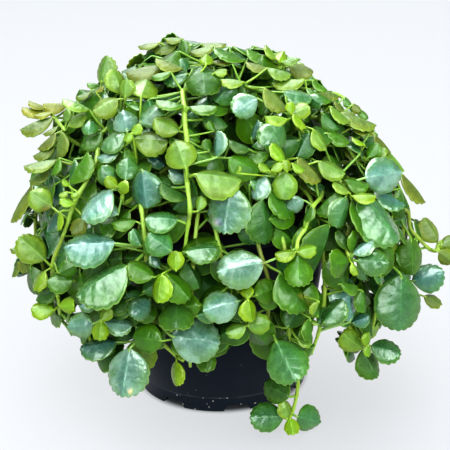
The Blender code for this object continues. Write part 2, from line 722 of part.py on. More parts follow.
def settle(leaf, stems, field, reach):
    """Tie the leaf to a near stem so that it crosses nothing; False if it can't be."""
    behind = leaf.base - leaf.ahead * (0.35 * leaf.length) - leaf.face * 3.0
    hosts = sorted(stems, key=lambda stem: stem.nearest(behind)[1])[:4]
    for host in hosts:
        leaf.root, gap = host.nearest(behind)
        way = leaf.base - leaf.root
        if gap > reach:
            break
        if way.dot(leaf.ahead) < -0.1 * way.length:
            continue
        thick = leaf.solid(CLEARANCE)
        if min(v.z for v in thick[0]) < FLOOR_CLEARANCE:
            return False
        slim = leaf.slim()
        if field.crosses(thick, ("stem", "leaf"), others=host.name):
            continue
        if field.crosses(slim, ("stem", "slim"), own=host.name):
            continue
        field.add(host.name, leaf.solid(), "leaf")
        field.add(host.name, slim, "slim")
        host.leaves.append(leaf)
        return True
    return False


def hang_seen_leaves(layout, stems, field):
    """Place the listed leaves, the foremost first; return how many found no room."""
    missed = 0
    rows = sorted(SEEN_LEAVES, key=lambda row: -row[5] - 0.02 * row[4])
    for row in rows:
        if seen_leaf(layout, row, 0.0).length < SMALLEST_LENGTH:
            continue
        for shift in (0.0, -1.2, 1.2, -2.4, 2.4, -3.6, -5.0, 3.8, -6.5, -8.0, 5.5, -10.0, 8.0,
                      -13.0):
            if settle(seen_leaf(layout, row, shift), stems, field, SEEN_REACH):
                break
        else:
            missed += 1
    return missed


def hidden_from_front(layout, point):
    """True where no leaf is listed because the front view doesn't show the place."""
    u, v = layout.seen(point)
    if u > 446.0:
        return True
    return outward(point).dot(layout.toward) < 0.05


def hang_rule_leaves(layout, stems, field):
    """Cover the places that no listed leaf covers, on every side."""
    rng = random.Random(SEED + 1)
    total = int(4.0 * math.pi * DOME_RADIUS ** 2 / RULE_SPACING ** 2)
    middles = [leaf.middle() for stem in stems for leaf in stem.leaves]
    placed = 0
    for k in range(total):
        height = 1.0 - 2.0 * (k + 0.5) / total
        angle = k * math.pi * (3.0 - math.sqrt(5.0))
        point = dome_point(height, angle)
        if point.z < 38.0 + 14.0 * math.sin(3.0 * angle + 0.6):
            continue
        hidden = hidden_from_front(layout, point)
        if not hidden and not behind_listed_leaf(layout, point):
            continue
        point -= outward(point) * (0.0 if hidden else FRONT_FILL_DEPTH)
        room = HIDDEN_ROOM if hidden else FRONT_ROOM
        if min((point - middle).length for middle in middles) < room:
            continue
        if hang_rule_leaf(layout, point, rng, stems, field):
            middles.append(point)
            placed += 1
    return placed


def dome_point(height, angle):
    """Point of the foliage surface, by its height share and its direction in plan."""
    flat = math.sqrt(1.0 - height * height)
    if height >= 0.0:
        return Vector((flat * math.cos(angle) * DOME_RADIUS, flat * math.sin(angle) * DOME_RADIUS,
                       DOME_CENTRE + height * DOME_RADIUS))
    low = DOME_CENTRE + height * DOME_RADIUS
    reach = SKIRT_FOOT_RADIUS + (DOME_RADIUS - SKIRT_FOOT_RADIUS) * max(0.0, low) / DOME_CENTRE
    return Vector((reach * math.cos(angle), reach * math.sin(angle), low))


def hang_rule_leaf(layout, point, rng, stems, field):
    """Try a few tilts and depths for one leaf of the rule."""
    host = min(stems, key=lambda stem: stem.nearest(point)[1])
    root, _ = host.nearest(point)
    out = outward(point)
    away = point - root
    away -= out * away.dot(out)
    down = Vector((0.0, 0.0, -1.0)) + out * out.z
    spread = Vector([rng.uniform(-1.0, 1.0) for _ in range(3)])
    ahead = away.normalized() * 0.7 + down * 0.5 + (spread - out * spread.dot(out)) * 0.9
    ahead.normalize()
    length = rng.uniform(*RULE_LENGTHS)
    deep = rng.uniform(-5.0, 2.5)
    tone = rng.choice("mmmgglldbp")
    lean = Vector([rng.uniform(-1.0, 1.0) for _ in range(3)])
    for turn in range(14):
        depth = deep + (0.0, -2.0, 2.0, -4.0, -6.0, 3.5, -8.0)[turn % 7]
        size = length
        if turn > 6:
            depth -= 6.0
            size *= 0.75
        face = out * 0.62 + Vector((0.0, 0.0, 0.45)) + lean * 0.42
        base = point + out * depth - ahead * size * 0.5
        leaf = Leaf(base, ahead + out * rng.uniform(-0.1, 0.35), face, size,
                    WIDTH_TO_LENGTH * size, tone)
        if within_outline(layout, leaf) and settle(leaf, stems, field, RULE_REACH):
            return True
        ahead = Matrix.Rotation(0.45, 3, out) @ ahead
    return False


def behind_listed_leaf(layout, point):
    """True if a listed leaf is seen at the point's place in the front view."""
    u, v = layout.seen(point)
    for base_u, base_v, tip_u, tip_v, wide, _, _ in SEEN_LEAVES:
        gap = math.hypot(0.5 * (base_u + tip_u) - u, 0.5 * (base_v + tip_v) - v)
        if gap < 0.5 * max(wide, math.hypot(tip_u - base_u, tip_v - base_v)):
            return True
    return False


def within_outline(layout, leaf):
    """True if the front view shows the whole blade inside the plant's outline."""
    across = leaf.face.cross(leaf.ahead) * (0.5 * leaf.width)
    tip = leaf.base + leaf.ahead * leaf.length
    for point in (leaf.base, tip, leaf.middle() + across, leaf.middle() - across):
        u, v = layout.seen(point)
        inside = False
        for k, (right_u, right_v) in enumerate(PLANT_OUTLINE):
            left_u, left_v = PLANT_OUTLINE[k - 1]
            if (right_v > v) != (left_v > v):
                share = (v - right_v) / (left_v - right_v)
                inside ^= u < right_u + (left_u - right_u) * share
        if not inside:
            return False
    return True


def finished(name, work, collection=None):
    """Object from a bmesh whose faces are turned outwards first."""
    bmesh.ops.recalc_face_normals(work, faces=work.faces)
    if work.calc_volume(signed=True) < 0.0:
        bmesh.ops.reverse_faces(work, faces=work.faces)
    mesh = bpy.data.meshes.new(name)
    work.to_mesh(mesh)
    work.free()
    made = bpy.data.objects.new(name, mesh)
    (collection or bpy.context.scene.collection).objects.link(made)
    return made


def solid_object(name, solid, collection=None):
    """Object from a solid given as vertices in millimetres and faces."""
    verts, faces = solid
    work = bmesh.new()
    corners = [work.verts.new(vert * MM) for vert in verts]
    for face in faces:
        work.faces.new([corners[i] for i in face])
    return finished(name, work, collection)


def spun_object(name, profile, segments):
    """Object spun about the upright axis from a profile of (radius, height)."""
    work = bmesh.new()
    verts = [work.verts.new((radius * MM, 0.0, height * MM)) for radius, height in profile]
    edges = [work.edges.new(pair) for pair in zip(verts, verts[1:])]
    bmesh.ops.spin(work, geom=verts + edges, cent=(0.0, 0.0, 0.0), axis=(0.0, 0.0, 1.0),
                   angle=2.0 * math.pi, steps=segments, use_merge=True)
    bmesh.ops.remove_doubles(work, verts=work.verts, dist=1e-6)
    return finished(name, work)


def drum_object(name, centre, low, high, radius, sides, collection):
    """Upright prism that stands in for a small round hole."""
    work = bmesh.new()
    place = Matrix.Translation(Vector((centre.x, centre.y, 0.5 * (low + high))) * MM)
    bmesh.ops.create_cone(work, cap_ends=True, segments=sides, radius1=radius * MM,
                          radius2=radius * MM, depth=(high - low) * MM, matrix=place)
    return finished(name, work, collection)


def notch_object(name, turn, collection):
    """Block that cuts one gap in the foot ring, a little narrower at its top."""
    work = bmesh.new()
    middle = FOOT_RADIUS - 0.5 * FOOT_RING_WIDTH
    height = FOOT_RECESS + 2.0
    size = Vector((FOOT_RING_WIDTH + 7.0, NOTCH_WIDTH + 2.4, height)) * MM
    place = Matrix.Rotation(turn, 4, "Z")
    place @= Matrix.Translation(Vector((middle, 0.0, 0.5 * height - 2.05)) * MM)
    bmesh.ops.create_cube(work, size=1.0, matrix=Matrix.Diagonal((*size, 1.0)))
    for vert in work.verts:
        if vert.co.z > 0.0:
            vert.co.y *= (NOTCH_WIDTH - 1.6) / (NOTCH_WIDTH + 2.4)
    bmesh.ops.transform(work, matrix=place, verts=work.verts)
    return finished(name, work, collection)


def new_group(name):
    """Collection that holds the pieces of one Boolean."""
    group = bpy.data.collections.new(name)
    bpy.context.scene.collection.children.link(group)
    return group


def combine(target, group, operation):
    """Apply one Boolean with a collection, then remove the collection and its pieces."""
    step = target.modifiers.new("joined", "BOOLEAN")
    step.operation = operation
    step.operand_type = "COLLECTION"
    step.collection = group
    step.solver = "MANIFOLD"
    graph = bpy.context.evaluated_depsgraph_get()
    fresh = bpy.data.meshes.new_from_object(target.evaluated_get(graph))
    target.modifiers.clear()
    old = target.data
    target.data = fresh
    bpy.data.meshes.remove(old)
    for piece in list(group.objects):
        bpy.data.objects.remove(piece)
    bpy.data.collections.remove(group)


def drop_scraps(target):
    """Keep the largest connected body of a mesh."""
    work = bmesh.new()
    work.from_mesh(target.data)
    left = set(work.verts)
    bodies = []
    while left:
        queue = [left.pop()]
        body = set(queue)
        while queue:
            for edge in queue.pop().link_edges:
                fresh = [vert for vert in edge.verts if vert in left]
                left.difference_update(fresh)
                body.update(fresh)
                queue += fresh
        bodies.append(body)
    bodies.sort(key=len)
    loose = [vert for body in bodies[:-1] for vert in body]
    bmesh.ops.delete(work, geom=loose, context="VERTS")
    work.to_mesh(target.data)
    work.free()
    return len(bodies) - 1


def finish(target, colour, roughness):
    """Give the object its own plain material and smooth shading with sharp edges."""
    material = bpy.data.materials.new(target.name)
    material.use_nodes = True
    shader = material.node_tree.nodes["Principled BSDF"]
    shader.inputs["Base Color"].default_value = (*colour, 1.0)
    shader.inputs["Roughness"].default_value = roughness
    shader.inputs["Metallic"].default_value = 0.0
    target.data.materials.clear()
    target.data.materials.append(material)
    target.data.shade_smooth()
    target.data.set_sharp_from_angle(angle=math.radians(35.0))


def wall_radius(height):
    """Outer radius of the plain pot wall."""
    return FOOT_RADIUS + (LIP_RADIUS - 1.6 - FOOT_RADIUS) * height / (POT_HEIGHT - LIP_HEIGHT)


def pot_profile():
    """Section of the pot, from the middle of its recessed foot to that of its floor."""
    lip = POT_HEIGHT - LIP_HEIGHT
    ridge = POT_HEIGHT - RIDGE_DROP
    floor_top = FOOT_RECESS + WALL
    return [
        (0.0, FOOT_RECESS),
        (FOOT_RADIUS - FOOT_RING_WIDTH, FOOT_RECESS),
        (FOOT_RADIUS - FOOT_RING_WIDTH, 0.0),
        (FOOT_RADIUS - 0.3, 0.0),
        (wall_radius(FOOT_STEP_HEIGHT) - 0.5, FOOT_STEP_HEIGHT),
        (wall_radius(FOOT_STEP_HEIGHT) + 0.1, FOOT_STEP_HEIGHT + 0.6),
        (wall_radius(ridge) - 0.1, ridge - 0.6),
        (wall_radius(ridge) + 0.4, ridge),
        (wall_radius(lip), lip),
        (LIP_RADIUS - 0.4, lip),
        (LIP_RADIUS, POT_HEIGHT),
        (LIP_RADIUS - WALL - 0.3, POT_HEIGHT),
        (wall_radius(floor_top) - WALL, floor_top),
        (0.0, floor_top),
    ]


def build_pot():
    """Moulded pot: wall, rim band, ridge, foot ring with notches and drain holes."""
    pot = spun_object("pot", pot_profile(), POT_SEGMENTS)
    cuts = new_group("pot_cuts")
    for k in range(NOTCH_COUNT):
        turn = math.radians(FIRST_NOTCH + 360.0 * k / NOTCH_COUNT)
        notch_object("notch_%d" % k, turn, cuts)
    for k in range(DRAIN_COUNT):
        turn = math.radians(45.0 + 360.0 * k / DRAIN_COUNT)
        centre = Vector((DRAIN_CIRCLE * math.cos(turn), DRAIN_CIRCLE * math.sin(turn), 0.0))
        drum_object("drain_%d" % k, centre, FOOT_RECESS - 2.0, FOOT_RECESS + WALL + 2.0,
                    DRAIN_RADIUS, 8, cuts)
    combine(pot, cuts, "DIFFERENCE")
    finish(pot, (0.022, 0.024, 0.028), 0.5)
    return pot


def build_soil(stems):
    """Root ball that fills the pot, with one plain hole for each stem."""
    bottom = FOOT_RECESS + WALL + SOIL_GAP
    shoulder = POT_HEIGHT - LIP_HEIGHT - 3.0
    side = wall_radius(shoulder) - WALL - SOIL_GAP - 0.2
    profile = [
        (0.0, bottom),
        (wall_radius(bottom) - WALL - SOIL_GAP - 0.3, bottom),
        (side, shoulder),
        (side, SOIL_TOP - 1.4),
        (side - 5.8, SOIL_TOP),
        (0.0, SOIL_TOP),
    ]
    soil = spun_object("soil", profile, SOIL_SEGMENTS)
    holes = new_group("soil_holes")
    for stem in stems:
        drum_object("hole_" + stem.name, stem.hole, SOIL_TOP - HOLE_DEPTH, SOIL_TOP + 3.0,
                    HOLE_RADIUS, 4, holes)
    combine(soil, holes, "DIFFERENCE")
    finish(soil, (0.045, 0.028, 0.016), 0.95)
    return soil


def build_stem(stem):
    """Fuse a stem with its stalks and blades."""
    made = solid_object(stem.name, stem.solid())
    leaves = new_group(stem.name + "_leaves")
    for k, leaf in enumerate(stem.leaves):
        solid_object("%s_leaf_%02d" % (stem.name, k), leaf.solid(), leaves)
    combine(made, leaves, "UNION")
    scraps = drop_scraps(made)
    if scraps:
        print(made.name, "loose scraps:", scraps)
    finish(made, (0.12, 0.26, 0.05), 0.35)
    return made


def centre_on_origin(objects):
    """Move everything so that the middle of the whole plant stands over the origin."""
    corners = [vert.co for made in objects for vert in made.data.vertices]
    middle = [(min(c[i] for c in corners) + max(c[i] for c in corners)) * 0.5 for i in range(2)]
    shift = Matrix.Translation(Vector((-middle[0], -middle[1], 0.0)))
    for made in objects:
        made.data.transform(shift)
        made.data.update()
    print("the pot's axis stands at %.2f, %.2f mm" % (-middle[0] / MM, -middle[1] / MM))


def keep_clear_of_pot(field):
    """Remember the pot's wall and rim, so that nothing grows through them."""
    wall = [(FOOT_RADIUS, 0.0), (wall_radius(96.0), 96.0)]
    rim = [(LIP_RADIUS, 90.0), (LIP_RADIUS, POT_HEIGHT)]
    for (low_radius, low), (high_radius, high) in (wall, rim):
        verts, faces = [], []
        for k in range(32):
            turn = 2.0 * math.pi * k / 32
            way = Vector((math.cos(turn), math.sin(turn), 0.0))
            verts.append(way * (low_radius + 1.0) + Vector((0.0, 0.0, low)))
            verts.append(way * (high_radius + 1.0) + Vector((0.0, 0.0, high + 0.8)))
            verts.append(way * (high_radius - 3.5) + Vector((0.0, 0.0, high + 0.8)))
        for k in range(32):
            near, far = 3 * k, 3 * ((k + 1) % 32)
            faces.append((near, far, far + 1, near + 1))
            faces.append((near + 1, far + 1, far + 2, near + 2))
        field.add("pot", (verts, faces), "stem")


def main():
    """Build the pot, the soil and every leafy stem."""
    for old in list(bpy.data.objects):
        bpy.data.objects.remove(old)
    layout = Layout()
    field = Field()
    keep_clear_of_pot(field)
    stems = []
    seen_stems(layout, field, stems)
    rule_stems(field, stems)
    missed = hang_seen_leaves(layout, stems, field)
    placed = hang_rule_leaves(layout, stems, field)
    stems = [stem for stem in stems if stem.leaves]
    for number, stem in enumerate(stems):
        stem.name = "leafy_stem_%02d" % (number + 1)
    count = sum(len(stem.leaves) for stem in stems)
    print("stems %d, leaves %d, by rule %d, without room %d" % (len(stems), count, placed, missed))
    objects = [build_pot(), build_soil(stems)]
    objects += [build_stem(stem) for stem in stems]
    centre_on_origin(objects)


main()
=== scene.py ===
"""Looks of a trailing plant with round scalloped leaves in a black nursery pot.

Lengths inside the plant rules are millimetres, and every mesh is made in metres. The
front of the plant looks towards -Y. The rules that place stems and leaves are those of
the solids, so each fine stem stands where its solid stands.
"""

import json
import logging
from dataclasses import dataclass
from enum import Enum
from math import acos, atan2, cos, exp, hypot, pi, radians, sin, sqrt
from random import Random
from typing import Dict, List, Optional, Sequence, Tuple

import bmesh
import bpy
from bmesh.types import BMesh, BMVert
from bpy.types import Collection, Material, Node, NodeSocket, Object
from mathutils import Matrix, Vector, noise
from mathutils.bvhtree import BVHTree

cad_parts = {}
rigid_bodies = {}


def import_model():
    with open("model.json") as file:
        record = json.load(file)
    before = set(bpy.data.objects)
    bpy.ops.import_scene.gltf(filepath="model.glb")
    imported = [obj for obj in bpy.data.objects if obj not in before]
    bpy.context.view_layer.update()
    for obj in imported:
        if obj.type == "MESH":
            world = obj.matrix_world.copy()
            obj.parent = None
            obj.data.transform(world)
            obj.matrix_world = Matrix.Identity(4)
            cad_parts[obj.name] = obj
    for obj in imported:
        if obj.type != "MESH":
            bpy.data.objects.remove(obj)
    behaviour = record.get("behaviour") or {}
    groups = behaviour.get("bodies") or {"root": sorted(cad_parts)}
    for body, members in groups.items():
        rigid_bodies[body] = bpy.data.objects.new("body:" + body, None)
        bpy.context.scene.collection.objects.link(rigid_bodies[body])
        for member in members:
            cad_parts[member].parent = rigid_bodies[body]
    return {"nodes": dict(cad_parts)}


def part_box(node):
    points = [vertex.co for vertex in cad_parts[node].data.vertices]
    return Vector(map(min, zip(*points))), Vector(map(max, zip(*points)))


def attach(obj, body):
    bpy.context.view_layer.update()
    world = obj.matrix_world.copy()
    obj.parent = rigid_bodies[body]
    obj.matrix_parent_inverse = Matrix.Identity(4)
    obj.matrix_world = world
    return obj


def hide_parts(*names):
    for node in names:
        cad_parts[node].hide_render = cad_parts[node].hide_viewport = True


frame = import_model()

LOG = logging.getLogger("potted_plant")
MM = 0.001
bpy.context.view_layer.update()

Spot = Tuple[float, float, float]
Paint = Tuple[float, float, float, float]
Row = Tuple[float, float, float, float, float, float, str]
Solid = Tuple[List[Vector], List[Tuple[int, ...]]]

# Outline of the plant and its pot in the front view, which the rule's leaves keep within.
PLANT_OUTLINE = (
    (18, 116), (37, 99), (76, 94), (88, 76), (94, 58), (108, 53), (119, 66), (131, 60), (148, 40),
    (180, 31), (212, 38), (246, 46), (286, 47), (308, 62), (320, 80), (336, 93), (348, 108),
    (366, 117), (376, 130), (385, 148), (399, 160), (406, 178), (410, 205), (440, 214),
    (472, 216), (472, 288), (440, 302), (424, 318), (398, 332), (399, 352), (383, 374),
    (354, 374), (340, 352), (334, 328), (316, 326), (312, 352), (300, 392), (250, 411),
    (178, 409), (146, 392), (122, 396), (104, 380), (99, 358), (78, 346), (62, 322), (32, 316),
    (30, 292), (12, 270), (20, 240), (40, 228), (8, 218), (20, 200), (30, 180), (33, 150),
    (42, 132),
)

# Stems that are seen from the front: u, v and lift above the foliage surface.
SEEN_STEMS = (
    ((183, 92, -3), (184, 108, 2), (185, 125, 3), (187, 142, 2), (186, 168, 2), (188, 190, 1),
     (190, 211, 0), (187, 232, -6), (184, 251, -10), (177, 264, -11), (167, 272, -11)),
    ((136, 150, -9), (138, 180, -7), (141, 206, -4), (144, 229, -4), (146, 252, -6),
     (148, 290, -13), (153, 320, -14), (162, 341, -14), (173, 353, -14), (184, 361, -13)),
    ((104, 148, -10), (96, 162, -4), (86, 182, -2), (77, 197, 0), (72, 209, 0), (66, 228, 0),
     (60, 244, -1), (53, 262, -1), (53, 280, -4), (58, 297, -2), (60, 314, -2)),
    ((253, 215, -12), (258, 244, -12), (263, 262, -10), (268, 280, -11), (268, 308, -12),
     (270, 330, -10), (283, 352, -8), (295, 374, -5), (298, 384, -3), (295, 403, -1),
     (290, 417, 1)),
    ((212, 215, -12), (216, 232, -9), (221, 256, -9), (231, 280, -14), (243, 300, -12),
     (247, 326, -9)),
    ((385, 205, -14), (407, 211, -5.5), (410, 228, -5.5), (420, 240, -1.2), (431, 250, 0),
     (440, 250, 1)),
    ((384, 235, -16), (392, 255, -10), (400, 270, -3), (403, 279, -1)),
    ((345, 222, -12), (344, 240, -8), (348, 254, -2), (352, 263, 0)),
    ((330, 170, -14), (340, 182, -6), (350, 195, 0)),
    ((346, 300, -17), (347, 322, -8), (357, 336, -4), (366, 347, 0)),
    ((118, 285, -13), (108, 300, -8), (104, 312, -2), (102, 322, 0)),
    ((74, 142, -10), (63, 128, -2), (54, 117, 1)),
    ((135, 162, -12), (134, 146, -4), (132, 134, 2)),
    ((280, 200, -13), (281, 186, -7), (280, 173, 0)),
    ((285, 88, -12), (282, 74, -6), (279, 61, -1)),
    ((320, 188, -11), (312, 208, -3), (305, 228, -2), (298, 240, -1), (297, 252, 1)),
    ((128, 202, -12), (122, 193, -4), (117, 187, 2)),
    ((300, 138, -12), (296, 125, -5), (292, 114, 1)),
    ((116, 262, -11), (124, 274, -6), (129, 267, -2)),
)

# Other stems: count, first angle, hole radius, then height and radius along the way.
RULE_STEMS = (
    (1, 250.0, 3.0, ((130, 4), (160, 5), (176, 9), (184, 18))),
    (4, 20.0, 9.0, ((130, 11), (156, 15), (172, 25), (175, 42))),
    (10, 4.0, 26.0, ((122, 30), (143, 42), (158, 58), (152, 72), (139, 84))),
    (17, 9.0, 44.0, ((116, 52), (128, 66), (126, 82), (111, 94), (90, 99), (68, 97), (47, 92))),
)

